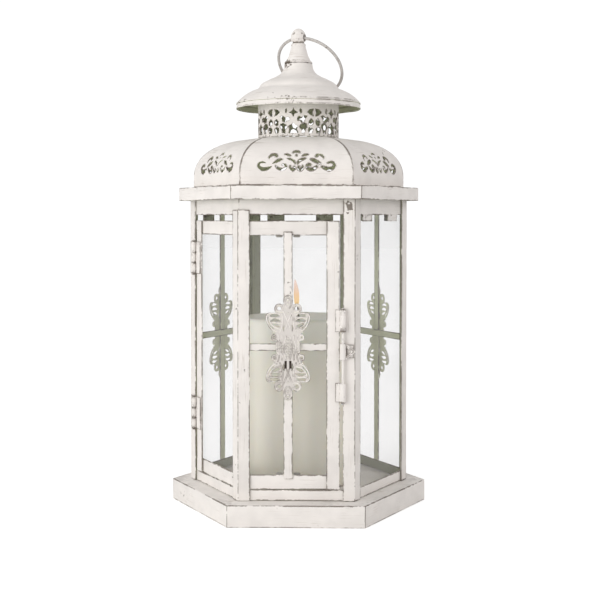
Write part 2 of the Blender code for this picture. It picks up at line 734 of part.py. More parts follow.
def make_latch(door, hasp_swing):
    """A rod in two brackets on the door's stile, and a leaf on it that laps over the post."""
    bore = LATCH_ROD + GAP
    plate_far = LATCH_U - LATCH_PLATE_WIDTH
    brackets = {"upper": UPPER_BRACKET, "lower": LOWER_BRACKET}
    for level, (rise, length) in brackets.items():
        z0, z1 = FLOOR + rise, FLOOR + rise + length
        name = "latch_bracket_" + level
        item = leaf(FRONT, rectangle(plate_far, LATCH_U, z0, z1), LATCH_U, LATCH_W,
                    LATCH_BARREL, bore, [(z0, z1)])
        placed(item, name, painted(name), door)
    rod = pinned(FRONT, LATCH_U, LATCH_W, LATCH_ROD, LATCH_ROD_HEAD, FLOOR + LOWER_BRACKET[0],
                 FLOOR + sum(UPPER_BRACKET))
    placed(rod, "latch_rod", painted("latch_rod"), door)
    z0, z1 = FLOOR + HASP[0], FLOOR + sum(HASP)
    tip_u, tip_z = LATCH_U + HASP_REACH, (z0 + z1) / 2
    outline = [(LATCH_U, z0), (tip_u, tip_z - HASP_TIP / 2), (tip_u, tip_z + HASP_TIP / 2), (LATCH_U, z1)]
    layer = (LATCH_W - SHEET / 2, LATCH_W + SHEET / 2)
    hasp = meshed(on_face(FRONT, [outline], *layer))
    x, y = on_side(FRONT, LATCH_U, LATCH_W)
    boolean(hasp, cylinder(LATCH_BARREL, z0, z1, x, y), "hasp_knuckle", "UNION")
    boolean(hasp, cylinder(bore, z0 - SHEET, z1 + SHEET, x, y), "hasp_bore", "DIFFERENCE")
    placed(hasp, "hasp", painted("hasp"), hasp_swing)
    width, height = KEEPER_SIZE
    keeper_far = tip_u - SHEET
    strip("keeper", FRONT, (keeper_far - width, keeper_far), (tip_z - height / 2, tip_z + height / 2),
          (FITTING_IN, FITTING_OUT))


def make_candle():
    """A pillar candle with a shallow melted top, and its wick."""
    bottom = FLOOR + GAP
    top = bottom + CANDLE_HEIGHT
    well = WICK_RADIUS + GAP
    profile = [(well, top - 2 * WAX_POOL_DEPTH), (WAX_POOL_RADIUS, top - WAX_POOL_DEPTH),
               (CANDLE_RADIUS - 3 * CANDLE_SHOULDER, top), (CANDLE_RADIUS, top - CANDLE_SHOULDER),
               (CANDLE_RADIUS, bottom + CANDLE_SHOULDER), (CANDLE_RADIUS - CANDLE_SHOULDER, bottom),
               (0, bottom), (0, top - WICK_DEPTH), (well, top - WICK_DEPTH)]
    body = turned(profile, ROUND_STEPS, closed=True)
    placed(body, "candle", material("wax", (0.87, 0.84, 0.74), 0.45))
    foot = top - WICK_DEPTH + GAP
    wick = [(0, foot + WICK_DEPTH + WICK_HEIGHT), (WICK_RADIUS, foot + WICK_DEPTH + WICK_HEIGHT - GAP),
            (WICK_RADIUS, foot), (0, foot)]
    placed(turned(wick, 8), "wick", material("wick_cotton", (0.10, 0.08, 0.06), 0.9))


def joint_empty(name, spot):
    empty = bpy.data.objects.new(name, None)
    PARTS.objects.link(empty)
    empty.location = spot
    return empty


def main():
    door = joint_empty("door_axis", (*on_side(FRONT_LEFT, HINGE_U, HINGE_W), FLOOR))
    hasp_swing = joint_empty("hasp_axis", (*on_side(FRONT, LATCH_U, LATCH_W), MID_Z))
    ring_swing = joint_empty("ring_axis", (0, 0, KNOB_MID))
    bpy.context.view_layer.update()
    make_plinth()
    make_sill()
    make_frieze()
    make_posts(door)
    make_eave()
    make_petals()
    make_collar()
    make_cap()
    make_top_fitting()
    make_ring(ring_swing)
    make_glass(door)
    make_bars(door)
    make_door_frame(door)
    make_hinges(door)
    make_latch(door, hasp_swing)
    make_candle()
    hasp_swing.parent = door
    hasp_swing.matrix_parent_inverse = door.matrix_world.inverted()


main()
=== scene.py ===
"""Visual model of a six-sided candle lantern in rubbed white paint, laid out as a Blender add-on."""

import json
from math import atan2, cos, hypot, pi, radians, sin

import bmesh
import bpy
from mathutils import Matrix, Vector, noise


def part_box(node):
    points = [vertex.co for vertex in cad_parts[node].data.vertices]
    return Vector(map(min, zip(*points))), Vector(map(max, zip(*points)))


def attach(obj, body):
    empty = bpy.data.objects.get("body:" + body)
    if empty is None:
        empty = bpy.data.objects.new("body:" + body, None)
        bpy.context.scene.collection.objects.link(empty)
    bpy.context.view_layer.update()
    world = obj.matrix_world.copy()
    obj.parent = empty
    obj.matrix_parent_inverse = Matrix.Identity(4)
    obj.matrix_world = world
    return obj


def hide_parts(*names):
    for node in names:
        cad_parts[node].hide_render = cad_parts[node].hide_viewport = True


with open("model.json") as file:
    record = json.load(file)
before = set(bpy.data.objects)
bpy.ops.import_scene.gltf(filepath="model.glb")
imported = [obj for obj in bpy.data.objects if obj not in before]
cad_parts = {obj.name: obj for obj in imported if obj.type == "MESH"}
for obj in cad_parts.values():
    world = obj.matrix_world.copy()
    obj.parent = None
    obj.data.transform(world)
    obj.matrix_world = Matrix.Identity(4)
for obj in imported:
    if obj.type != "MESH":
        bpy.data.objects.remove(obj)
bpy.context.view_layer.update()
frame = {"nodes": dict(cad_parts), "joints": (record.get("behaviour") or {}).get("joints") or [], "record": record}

bl_info = {
    "name": "Candle Lantern",
    "version": (1, 0, 0),
    "blender": (4, 5, 0),
    "location": "View3D > Sidebar > Lantern",
    "description": "Builds a rubbed white sheet-metal candle lantern around its packed frame",
    "category": "Add Mesh",
}

MM = 0.001
MERGE = 0.00001
SHEET = 0.8 * MM
COS30 = cos(radians(30))
FACES = {"rear_right": 0, "rear": 1, "rear_left": 2, "front_left": 3, "front": 4, "front_right": 5}
BODIES = frame["record"]["behaviour"]["bodies"]
SLOT_OF = {part["node"]: part["material_slot"] for part in frame["record"]["subparts"]}

EAVE_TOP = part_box("eave_band")[1].z
FOOT_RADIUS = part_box("roof_petal_front")[1].x / sin(radians(30))
ROOF_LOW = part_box("roof_petal_front")[0].z
ROOF_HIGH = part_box("roof_petal_front")[1].z
COLLAR_LOW, COLLAR_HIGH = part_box("collar")[0].z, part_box("collar")[1].z
COLLAR_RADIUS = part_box("collar")[1].x
CAP_LOW, CAP_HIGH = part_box("cap")[0].z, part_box("cap")[1].z
CAP_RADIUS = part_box("cap")[1].x
CANDLE_LOW, CANDLE_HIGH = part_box("candle")[0].z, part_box("candle")[1].z
CANDLE_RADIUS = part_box("candle")[1].x
WICK_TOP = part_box("wick")[1].z
FLAME_LOW = WICK_TOP - 3 * MM
KNOB_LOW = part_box("neck_sleeve")[1].z + 0.3 * MM
KNOB_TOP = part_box("knob")[1].z
KNOB_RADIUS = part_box("knob")[1].x
RING = next(joint for joint in frame["joints"] if joint["name"] == "ring_swing")


class LanternSizes(bpy.types.PropertyGroup):
    """Sizes of the finish, apart from those that the frame sets."""

    edge_round: bpy.props.FloatProperty(
        name="Edge rounding", description="How far the sheet's edges are rounded over",
        default=0.22 * MM, min=0.0, max=0.4 * MM, unit="LENGTH")
    roof_cuts: bpy.props.IntProperty(
        name="Roof steps", description="How many steps make the curve of a roof petal",
        default=26, min=8, max=60)
    scroll_rise: bpy.props.FloatProperty(
        name="Scroll height", description="Height of the roof's scrollwork above the eave",
        default=14.5 * MM, min=8 * MM, max=20 * MM, unit="LENGTH")
    relief: bpy.props.FloatProperty(
        name="Lace relief", description="Half thickness of the raised lines on the ornaments",
        default=0.36 * MM, min=0.1 * MM, max=0.8 * MM, unit="LENGTH")
    flame_height: bpy.props.FloatProperty(
        name="Flame height", description="Height of the candle's flame",
        default=18.0 * MM, min=5 * MM, max=30 * MM, unit="LENGTH")


class LanternColours(bpy.types.PropertyGroup):
    """Colours of the finishes."""

    paint: bpy.props.FloatVectorProperty(
        name="Paint", description="White top coat", subtype="COLOR", size=3,
        default=(0.84, 0.80, 0.765), min=0.0, max=1.0)
    glaze: bpy.props.FloatVectorProperty(
        name="Glaze", description="Brown glaze left in the brush streaks", subtype="COLOR", size=3,
        default=(0.36, 0.29, 0.22), min=0.0, max=1.0)
    bare: bpy.props.FloatVectorProperty(
        name="Rubbed metal", description="Dark metal where the paint is rubbed off", subtype="COLOR",
        size=3, default=(0.10, 0.07, 0.05), min=0.0, max=1.0)
    # Partly a grey-green coat and partly painted shade: it darkens inner and downward faces, where shade falls.
    inside: bpy.props.FloatVectorProperty(
        name="Inside", description="Thin grey-green coat on the inner faces", subtype="COLOR",
        size=3, default=(0.46, 0.48, 0.34), min=0.0, max=1.0)
    wax: bpy.props.FloatVectorProperty(
        name="Wax", description="Colour of the candle", subtype="COLOR", size=3,
        default=(0.94, 0.90, 0.79), min=0.0, max=1.0)
    floor: bpy.props.FloatVectorProperty(
        name="Floor", description="Colour of the studio floor", subtype="COLOR", size=3,
        default=(0.92, 0.92, 0.92), min=0.0, max=1.0)


class StageSettings(bpy.types.PropertyGroup):
    """The camera and the studio light."""

    distance: bpy.props.FloatProperty(
        name="Camera distance", description="From the lantern's axis to the camera",
        default=0.746, min=0.3, max=3.0, unit="LENGTH")
    height: bpy.props.FloatProperty(
        name="Camera height", description="Above the surface the lantern stands on",
        default=0.1837, min=0.0, max=2.0, unit="LENGTH")
    bearing: bpy.props.FloatProperty(
        name="Camera bearing", description="How far round to the right the camera stands",
        default=radians(1.2), subtype="ANGLE")
    aim_height: bpy.props.FloatProperty(
        name="Aim height", description="Height of the point that the camera looks at",
        default=0.1659, min=0.0, max=1.0, unit="LENGTH")
    aim_side: bpy.props.FloatProperty(
        name="Aim to the right", description="How far right of the lantern's axis the camera looks",
        default=0.001, min=-0.1, max=0.1, unit="LENGTH")
    lens: bpy.props.FloatProperty(
        name="Lens", description="Focal length in millimetres", default=69.1, min=20.0, max=200.0)
    rise: bpy.props.FloatProperty(
        name="Lens shift", description="Upright shift of the lens, as a share of the view",
        default=-0.093, min=-0.5, max=0.5)
    sky: bpy.props.FloatProperty(
        name="Studio light", description="Strength of the even light all round", default=0.72,
        min=0.0, max=5.0)
    key: bpy.props.FloatProperty(
        name="Key light", description="Power of the soft light from the left", default=6.2,
        min=0.0, max=100.0)


# ---------------------------------------------------------------- geometry helpers


def side_frame(face):
    """One side of the lantern: x along it to the right, y up, z outwards."""
    turn = radians(60 * face + 30)
    out = Vector((cos(turn), sin(turn), 0))
    along = Vector((-sin(turn), cos(turn), 0))
    return Matrix((along, Vector((0, 0, 1)), out)).transposed().to_4x4()


def body_of(node):
    return next(body for body, nodes in BODIES.items() if node in nodes)


def added(mesh, name):
    item = bpy.data.objects.new(name, mesh)
    bpy.context.scene.collection.objects.link(item)
    return item


def from_work(work, name):
    """A new object from a finished bmesh, smooth shaded."""
    mesh = bpy.data.meshes.new(name)
    for face in work.faces:
        face.smooth = True
    work.to_mesh(mesh)
    work.free()
    return added(mesh, name)


def settle(item, finish, body, slot, *nodes):
    """Gives a finished piece its material and its body, and hides the CAD nodes it stands for."""
    item.data.materials.clear()
    item.data.materials.append(finish)
    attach(item, body)
    if nodes:
        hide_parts(*nodes)
    return item


def rounded(item, width):
    """Rounds the sharp edges over, keeps the flats flat, and marks the rounds for the wear."""
    item.data.materials.clear()
    for _ in range(2):
        item.data.materials.append(None)
    bevel = item.modifiers.new("round", "BEVEL")
    bevel.width = width
    bevel.segments = 2
    bevel.limit_method = "ANGLE"
    bevel.angle_limit = radians(38)
    bevel.harden_normals = True
    bevel.use_clamp_overlap = True
    bevel.material = 1
    item = baked(item)
    rim = item.data.attributes.new("rim", "FLOAT", "FACE")
    for face, entry in zip(item.data.polygons, rim.data):
        entry.value = float(face.material_index)
        face.material_index = 0
    return item


def crisp(item):
    """The object baked, with its sharper edges left sharp in its shading."""
    item = baked(item)
    item.data.set_sharp_from_angle(angle=radians(35))
    return item


def walled(item, thickness):
    wall = item.modifiers.new("wall", "SOLIDIFY")
    wall.thickness = thickness
    wall.offset = -1
    wall.use_even_offset = True
    return item


def baked(item):
    """The object's evaluated mesh in a new object of the same name, with no modifiers."""
    bpy.context.view_layer.update()
    ready = item.evaluated_get(bpy.context.evaluated_depsgraph_get())
    mesh = bpy.data.meshes.new_from_object(ready)
    mesh.transform(item.matrix_world)
    name = item.name
    bpy.data.objects.remove(item)
    return added(mesh, name)


def node_copy(node):
    """A clean copy of a CAD node: corners merged, flat faces joined up."""
    work = bmesh.new()
    work.from_mesh(frame["nodes"][node].data)
    bmesh.ops.remove_doubles(work, verts=work.verts, dist=MERGE)
    bmesh.ops.dissolve_limit(work, angle_limit=radians(0.6), verts=work.verts, edges=work.edges)
    return from_work(work, node + "_sheet")


def smooth_line(points, per_segment):
    """A rounded line through the points, whatever number of values each point has."""
    ends = [points[0], *points, points[-1]]
    line = []
    for a, b, c, d in zip(ends, ends[1:], ends[2:], ends[3:]):
        for step in range(per_segment):
            t = step / per_segment
            line.append(tuple(
                0.5 * (2 * q + (r - p) * t + (2 * p - 5 * q + 4 * r - s) * t**2
                       + (3 * q - p - 3 * r + s) * t**3)
                for p, q, r, s in zip(a, b, c, d)))
    return [*line, points[-1]]


def stroke(points, per_segment=4):
    """A curved slot from (x, y, width) points in millimetres, as one closed outline."""
    line = smooth_line(points, per_segment)
    left, right = [], []
    for before, here, after in zip([line[0], *line], line, [*line[1:], line[-1]]):
        dx, dy = after[0] - before[0], after[1] - before[1]
        reach = max(here[2], 0.12) / 2 / (hypot(dx, dy) or 1.0)
        left.append(((here[0] - dy * reach) * MM, (here[1] + dx * reach) * MM))
        right.append(((here[0] + dy * reach) * MM, (here[1] - dx * reach) * MM))
    return left + right[::-1]


def dot(x, y, radius, steps=10):
    return [((x + radius * cos(2 * pi * i / steps)) * MM, (y + radius * sin(2 * pi * i / steps)) * MM)
            for i in range(steps)]


def mirrored(outline):
    return [(-x, y) for x, y in outline]


def both_hands(outlines):
    return [*outlines, *map(mirrored, outlines)]


def raised_by(outlines, rise):
    return [[(x, y + rise) for x, y in outline] for outline in outlines]


def box_at(centre, size):
    work = bmesh.new()
    bmesh.ops.create_cube(work, size=1.0)
    bmesh.ops.scale(work, verts=work.verts, vec=size)
    bmesh.ops.translate(work, verts=work.verts, vec=centre)
    return work


def flat_sheet(outlines, name):
    """A flat face in the XY plane with holes, as a bmesh that faces up."""
    data = bpy.data.curves.new(name, "CURVE")
    data.dimensions = "2D"
    data.fill_mode = "BOTH"
    for outline in outlines:
        line = data.splines.new("POLY")
        line.points.add(len(outline) - 1)
        for point, (x, y) in zip(line.points, outline):
            point.co = (x, y, 0, 1)
        line.use_cyclic_u = True
    item = added(data, name)
    bpy.context.view_layer.update()
    ready = item.evaluated_get(bpy.context.evaluated_depsgraph_get())
    mesh = bpy.data.meshes.new_from_object(ready)
    bpy.data.objects.remove(item)
    work = bmesh.new()
    work.from_mesh(mesh)
    bmesh.ops.remove_doubles(work, verts=work.verts, dist=MERGE / 10)
    work.normal_update()
    down = [face for face in work.faces if face.normal.z < 0]
    bmesh.ops.reverse_faces(work, faces=down)
    return work


def cut_across(work, places, axis):
    """Cuts the sheet into strips at these places along one axis, so that it can be bent."""
    normal = Vector((1, 0, 0)) if axis == 0 else Vector((0, 1, 0))
    for place in places:
        geometry = [*work.verts, *work.edges, *work.faces]
        bmesh.ops.bisect_plane(work, geom=geometry, dist=MERGE / 100, plane_co=normal * place,
                               plane_no=normal)


def lathe(profile, steps):
    """A profile of (radius, height), top to bottom on its outer side, turned about Z."""
    work = bmesh.new()
    rings = []
    for radius, height in profile:
        if radius < MERGE:
            rings.append([work.verts.new((0, 0, height))] * steps)
            continue
        rings.append([work.verts.new((radius * cos(2 * pi * i / steps), radius * sin(2 * pi * i / steps),
                                      height)) for i in range(steps)])
    for upper, lower in zip(rings, rings[1:]):
        for i in range(steps):
            j = (i + 1) % steps
            corners = list(dict.fromkeys([upper[i], lower[i], lower[j], upper[j]]))
            if len(corners) > 2:
                work.faces.new(corners)
    work.normal_update()
    return work


def wire_along(points, radius, name, sides=3, cyclic=False):
    """A round wire through the points, its thickness scaled by each point's fourth value."""
    data = bpy.data.curves.new(name, "CURVE")
    data.dimensions = "3D"
    data.bevel_depth = radius
    data.bevel_resolution = sides
    data.use_fill_caps = True
    line = data.splines.new("POLY")
    line.points.add(len(points) - 1)
    for point, (x, y, z, thick) in zip(line.points, points):
        point.co = (x, y, z, 1)
        point.radius = thick
    line.use_cyclic_u = cyclic
    return baked(added(data, name))


def joined(items, name):
    """Several mesh objects as one."""
    work = bmesh.new()
    for item in items:
        work.from_mesh(item.data)
        bpy.data.objects.remove(item)
    bmesh.ops.remove_doubles(work, verts=work.verts, dist=MERGE / 10)
    return from_work(work, name)


def mark_rise(item, low, high):
    """Stores how far each point stands up between two levels, as an attribute of the mesh."""
    rise = item.data.attributes.new("rise", "FLOAT", "POINT")
    for vertex, entry in zip(item.data.vertices, rise.data):
        entry.value = min(max((vertex.co.z - low) / (high - low), 0.0), 1.0)


# ---------------------------------------------------------------- node helpers


def feed(tree, made, inputs):
    """Links an input to a socket, or fills it with a plain value."""
    for key, value in inputs.items():
        if isinstance(value, bpy.types.NodeSocket):
            tree.links.new(value, made.inputs[key])
        else:
            made.inputs[key].default_value = value


def wire(tree, kind, inputs=None, **settings):
    """Adds a node, sets it, and links or fills its inputs."""
    made = tree.nodes.new(kind)
    for key, value in settings.items():
        setattr(made, key, value)
    feed(tree, made, inputs or {})
    return made


def calc(tree, operation, a, b=0.0, clamp=False):
    return wire(tree, "ShaderNodeMath", {0: a, 1: b}, operation=operation, use_clamp=clamp).outputs[0]


def ramp(tree, value, low, high, to_low=0.0, to_high=1.0):
    """Spreads the stretch from low to high over 0 to 1, with smooth ends."""
    made = wire(tree, "ShaderNodeMapRange",
                {"Value": value, "From Min": low, "From Max": high, "To Min": to_low,
                 "To Max": to_high}, interpolation_type="SMOOTHSTEP")
    return made.outputs["Result"]


def mix_colour(tree, share, a, b):
    made = tree.nodes.new("ShaderNodeMix")
    made.data_type = "RGBA"
    feed(tree, made, {0: share, 6: a, 7: b})
    return made.outputs[2]


def rgba(colour, scale=1.0):
    return (colour[0] * scale, colour[1] * scale, colour[2] * scale, 1.0)


def new_group(name, inputs, outputs):
    """An empty shader group with its named sockets: its tree, its inputs and its output node."""
    tree = bpy.data.node_groups.new(name, "ShaderNodeTree")
    for label, kind, default in inputs:
        socket = tree.interface.new_socket(label, in_out="INPUT", socket_type="NodeSocket" + kind)
        if default is not None:
            socket.default_value = default
    for label, kind in outputs:
        tree.interface.new_socket(label, in_out="OUTPUT", socket_type="NodeSocket" + kind)
    entry = tree.nodes.new("NodeGroupInput")
    exit_node = tree.nodes.new("NodeGroupOutput")
    return tree, entry.outputs, exit_node


def fill_outputs(tree, exit_node, **values):
    for label, socket in values.items():
        tree.links.new(socket, exit_node.inputs[label])


def rubbed_edge_group():
    """Where paint has rubbed off the edges: a thin line that widens, thins out and breaks up."""
    tree, given, out = new_group(
        "rubbed_edge",
        [("Position", "Vector", None), ("Rim", "Float", 0.0), ("Reach", "Float", 1.7 * MM),
         ("Amount", "Float", 0.5)],
        [("Mask", "Float")])
    soft = wire(tree, "ShaderNodeBevel", {"Radius": given["Reach"]}, samples=8).outputs[0]
    hard = wire(tree, "ShaderNodeNewGeometry").outputs["True Normal"]
    facing = wire(tree, "ShaderNodeVectorMath", {0: soft, 1: hard}, operation="DOT_PRODUCT")
    edge = calc(tree, "SUBTRACT", 1.0, facing.outputs["Value"])
    edge = calc(tree, "MAXIMUM", edge, calc(tree, "MULTIPLY", given["Rim"], 0.29))
    fine = wire(tree, "ShaderNodeTexNoise", {"Vector": given["Position"], "Scale": 300.0,
                                             "Detail": 5.0, "Roughness": 0.6}).outputs[0]
    wide = wire(tree, "ShaderNodeTexNoise", {"Vector": given["Position"], "Scale": 48.0,
                                             "Detail": 2.0}).outputs[0]
    patch = calc(tree, "MULTIPLY", calc(tree, "SUBTRACT", calc(tree, "ADD", fine, wide), 1.0), -1.5)
    limit = calc(tree, "ADD", patch, calc(tree, "MULTIPLY", given["Amount"], -0.24))
    limit = calc(tree, "MAXIMUM", calc(tree, "ADD", limit, 0.22), 0.02)
    mask = ramp(tree, calc(tree, "SUBTRACT", edge, limit), 0.0, 0.035)
    fill_outputs(tree, out, Mask=mask)
    return tree


def brush_streak_group():
    """Fine streaks of glaze along the brush's direction, in patches."""
    tree, given, out = new_group(
        "brush_streak",
        [("Position", "Vector", None), ("Grain", "Vector", (1400.0, 1400.0, 70.0)),
         ("Amount", "Float", 0.5)],
        [("Mask", "Float"), ("Height", "Float")])
    stretched = wire(tree, "ShaderNodeVectorMath", {0: given["Position"], 1: given["Grain"]},
                     operation="MULTIPLY").outputs[0]
    lines = wire(tree, "ShaderNodeTexNoise", {"Vector": stretched, "Scale": 1.0, "Detail": 4.0,
                                              "Roughness": 0.6}).outputs[0]
    patch = wire(tree, "ShaderNodeTexNoise", {"Vector": given["Position"], "Scale": 55.0,
                                              "Detail": 3.0}).outputs[0]
    thin = ramp(tree, lines, 0.56, 0.70)
    zone = ramp(tree, calc(tree, "ADD", patch, calc(tree, "MULTIPLY", given["Amount"], 0.3)),
                0.56, 0.82)
    fill_outputs(tree, out, Mask=calc(tree, "MULTIPLY", thin, zone, clamp=True), Height=lines)
    return tree


def chip_group():
    """Small chips and rust spots, with more of them round one chosen place."""
    tree, given, out = new_group(
        "chips", [("Position", "Vector", None), ("Amount", "Float", 0.5),
                  ("Centre", "Vector", (0.0, 0.0, -1.0)), ("Extent", "Float", 8.0 * MM)],
        [("Mask", "Float")])
    spots = wire(tree, "ShaderNodeTexNoise", {"Vector": given["Position"], "Scale": 320.0,
                                              "Detail": 5.0, "Roughness": 0.62}).outputs[0]
    zone = wire(tree, "ShaderNodeTexNoise", {"Vector": given["Position"], "Scale": 60.0,
                                             "Detail": 1.0}).outputs[0]
    level = calc(tree, "ADD", spots, calc(tree, "MULTIPLY", calc(tree, "SUBTRACT", zone, 0.5), 0.5))
    away = wire(tree, "ShaderNodeVectorMath", {0: given["Position"], 1: given["Centre"]},
                operation="DISTANCE").outputs["Value"]
    near = calc(tree, "SUBTRACT", 1.0, calc(tree, "DIVIDE", away, given["Extent"]), clamp=True)
    level = calc(tree, "ADD", level, calc(tree, "MULTIPLY", near, 0.42))
    limit = calc(tree, "SUBTRACT", 0.86, calc(tree, "MULTIPLY", given["Amount"], 0.2))
    fill_outputs(tree, out, Mask=ramp(tree, calc(tree, "SUBTRACT", level, limit), 0.0, 0.03))
    return tree


def inner_face_group():
    """One where a surface faces in towards the lantern's axis or down, nought where it faces out."""
    tree, given, out = new_group(
        "inner_face", [("Position", "Vector", None), ("Normal", "Vector", None)], [("Mask", "Float")])
    level = wire(tree, "ShaderNodeVectorMath", {0: given["Position"], 1: (1.0, 1.0, 0.0)},
                 operation="MULTIPLY").outputs[0]
    outward = wire(tree, "ShaderNodeVectorMath", {0: level}, operation="NORMALIZE").outputs[0]
    facing = wire(tree, "ShaderNodeVectorMath", {0: outward, 1: given["Normal"]},
                  operation="DOT_PRODUCT").outputs["Value"]
    upward = wire(tree, "ShaderNodeSeparateXYZ", {0: given["Normal"]}).outputs[2]
    hidden = calc(tree, "MINIMUM", facing, calc(tree, "ADD", upward, 0.12))
    fill_outputs(tree, out, Mask=ramp(tree, hidden, -0.25, -0.6))
    return tree


GROUPS = {}


def group(name):
    makers = {"rubbed_edge": rubbed_edge_group, "brush_streak": brush_streak_group,
              "chips": chip_group, "inner_face": inner_face_group}
    if name not in GROUPS:
        GROUPS[name] = makers[name]()
    return GROUPS[name]


def use_group(tree, name, **inputs):
    made = tree.nodes.new("ShaderNodeGroup")
    made.node_tree = group(name)
    feed(tree, made, inputs)
    return made.outputs


def new_material(name):
    made = bpy.data.materials.new(name)
    made.use_nodes = True
    return made, made.node_tree, made.node_tree.nodes["Principled BSDF"]


ACROSS, UPRIGHT = (60.0, 60.0, 1500.0), (1300.0, 1300.0, 55.0)


def paint(name, grain, wear=0.5, streaks=0.5, chips=0.5, reach=1.7 * MM, shade=1.0, relief=False,
          lined=True, tone=1.0, knock=(0.0, 0.0, -1.0), spread=8.0 * MM):
    """White paint over dark sheet: rubbed edges, glaze streaks, chips and a grey-green inside that is partly painted
    shade; relief adds painted shade in recesses and slots.
    """
    colours = bpy.context.scene.lantern_colours
    made, tree, shader = new_material(name)
    coordinates = wire(tree, "ShaderNodeTexCoord")
    place = coordinates.outputs["Object"]
    rim = wire(tree, "ShaderNodeAttribute", attribute_name="rim").outputs["Fac"]
    edge = use_group(tree, "rubbed_edge", Position=place, Rim=rim, Reach=reach, Amount=wear)["Mask"]
    streak = use_group(tree, "brush_streak", Position=place, Grain=grain, Amount=streaks)
    spot = use_group(tree, "chips", Position=place, Amount=chips, Centre=knock, Extent=spread)["Mask"]
    cloud = wire(tree, "ShaderNodeTexNoise", {"Vector": place, "Scale": 90.0, "Detail": 4.0}).outputs[0]
    coat = mix_colour(tree, ramp(tree, cloud, 0.35, 0.7), rgba(colours.paint, tone),
                      rgba(colours.paint, 0.93 * tone))
    if relief:
        rise = wire(tree, "ShaderNodeAttribute", attribute_name="rise").outputs["Fac"]
        # Painted shade: the plate between the raised lines is darkened as shade in the recesses.
        recess_painted_shade = calc(tree, "MULTIPLY", calc(tree, "SUBTRACT", 1.0, rise), 0.36)
        coat = mix_colour(tree, recess_painted_shade, coat, (0.42, 0.38, 0.35, 1.0))
    if lined:
        # Inner and downward faces take the inside colour scaled by shade: a grey-green coat that also paints in their
        # shade, lighter or darker per finish as painted light.
        inner = use_group(tree, "inner_face", Position=place, Normal=coordinates.outputs["Normal"])
        coat = mix_colour(tree, inner["Mask"], coat, rgba(colours.inside, shade))
    coat = mix_colour(tree, calc(tree, "MULTIPLY", streak["Mask"], 0.42), coat, rgba(colours.glaze))
    brown = mix_colour(tree, cloud, rgba(colours.glaze, 0.45), rgba(colours.bare, 0.8))
    coat = mix_colour(tree, calc(tree, "MULTIPLY", edge, 0.9), coat, brown)
    coat = mix_colour(tree, calc(tree, "MULTIPLY", spot, 0.85), coat, brown)
    if relief:
        # Painted shade: faces in the ornament's slots are painted near black, as the shade in them.
        pit = wire(tree, "ShaderNodeAttribute", attribute_name="pit").outputs["Fac"]
        coat = mix_colour(tree, pit, coat, rgba(colours.bare, 0.35))
    tree.links.new(coat, shader.inputs["Base Color"])
    worn = calc(tree, "MAXIMUM", edge, spot)
    rough = calc(tree, "ADD", 0.56, calc(tree, "MULTIPLY", cloud, 0.16))
    rough = calc(tree, "ADD", rough, calc(tree, "MULTIPLY", worn, 0.08))
    tree.links.new(rough, shader.inputs["Roughness"])
    shader.inputs["Specular IOR Level"].default_value = 0.3
    level = calc(tree, "SUBTRACT", calc(tree, "MULTIPLY", streak["Height"], 0.35), worn)
    level = calc(tree, "ADD", level, calc(tree, "MULTIPLY", cloud, 0.8))
    bump = wire(tree, "ShaderNodeBump", {"Height": level, "Strength": 0.32, "Distance": 0.12 * MM})
    tree.links.new(bump.outputs[0], shader.inputs["Normal"])
    return made


def glass_material():
    """Clear window glass under a faint grey cover, partly smears and partly painted dimming for the light it reflects
    away, thicker where it is seen at a slant.
    """
    made, tree, shader = new_material("window_glass")
    place = wire(tree, "ShaderNodeTexCoord").outputs["Object"]
    smear = wire(tree, "ShaderNodeTexNoise", {"Vector": place, "Scale": 30.0, "Detail": 3.0}).outputs[0]
    # Painted dimming: a mottled grey cover darkens what is seen through the panes.
    painted_glass_dimming = mix_colour(tree, smear, (0.58, 0.56, 0.59, 1.0), (0.52, 0.51, 0.53, 1.0))
    tree.links.new(painted_glass_dimming, shader.inputs["Base Color"])
    tree.links.new(ramp(tree, smear, 0.45, 0.8, 0.03, 0.08), shader.inputs["Roughness"])
    slant = wire(tree, "ShaderNodeLayerWeight", {"Blend": 0.5}).outputs["Facing"]
    cover = calc(tree, "ADD", ramp(tree, smear, 0.4, 0.8, 0.065, 0.095),
                 calc(tree, "MULTIPLY", slant, 0.03))
    tree.links.new(cover, shader.inputs["Alpha"])
    return made


def wax_material():
    """Cream wax, a little see-through, with painted light from the flame that lightens its top."""
    colours = bpy.context.scene.lantern_colours
    made, tree, shader = new_material("candle_wax")
    place = wire(tree, "ShaderNodeTexCoord").outputs["Object"]
    cloud = wire(tree, "ShaderNodeTexNoise", {"Vector": place, "Scale": 45.0, "Detail": 4.0}).outputs[0]
    height = wire(tree, "ShaderNodeSeparateXYZ", {0: place}).outputs[2]
    # Painted light: the top 40 mm of the wax is lightened as if from the flame.
    near = ramp(tree, height, CANDLE_HIGH - 40 * MM, CANDLE_HIGH)
    body = mix_colour(tree, cloud, rgba(colours.wax), rgba(colours.wax, 0.95))
    painted_flame_light = mix_colour(tree, near, body, (0.95, 0.93, 0.84, 1.0))
    tree.links.new(painted_flame_light, shader.inputs["Base Color"])
    tree.links.new(ramp(tree, cloud, 0.3, 0.8, 0.38, 0.52), shader.inputs["Roughness"])
    shader.inputs["Subsurface Weight"].default_value = 0.25
    shader.inputs["Subsurface Radius"].default_value = (0.006, 0.0045, 0.003)
    shader.inputs["Subsurface Scale"].default_value = 1.0
    bump = wire(tree, "ShaderNodeBump", {"Height": cloud, "Strength": 0.2, "Distance": 0.2 * MM})
    tree.links.new(bump.outputs[0], shader.inputs["Normal"])
    return made


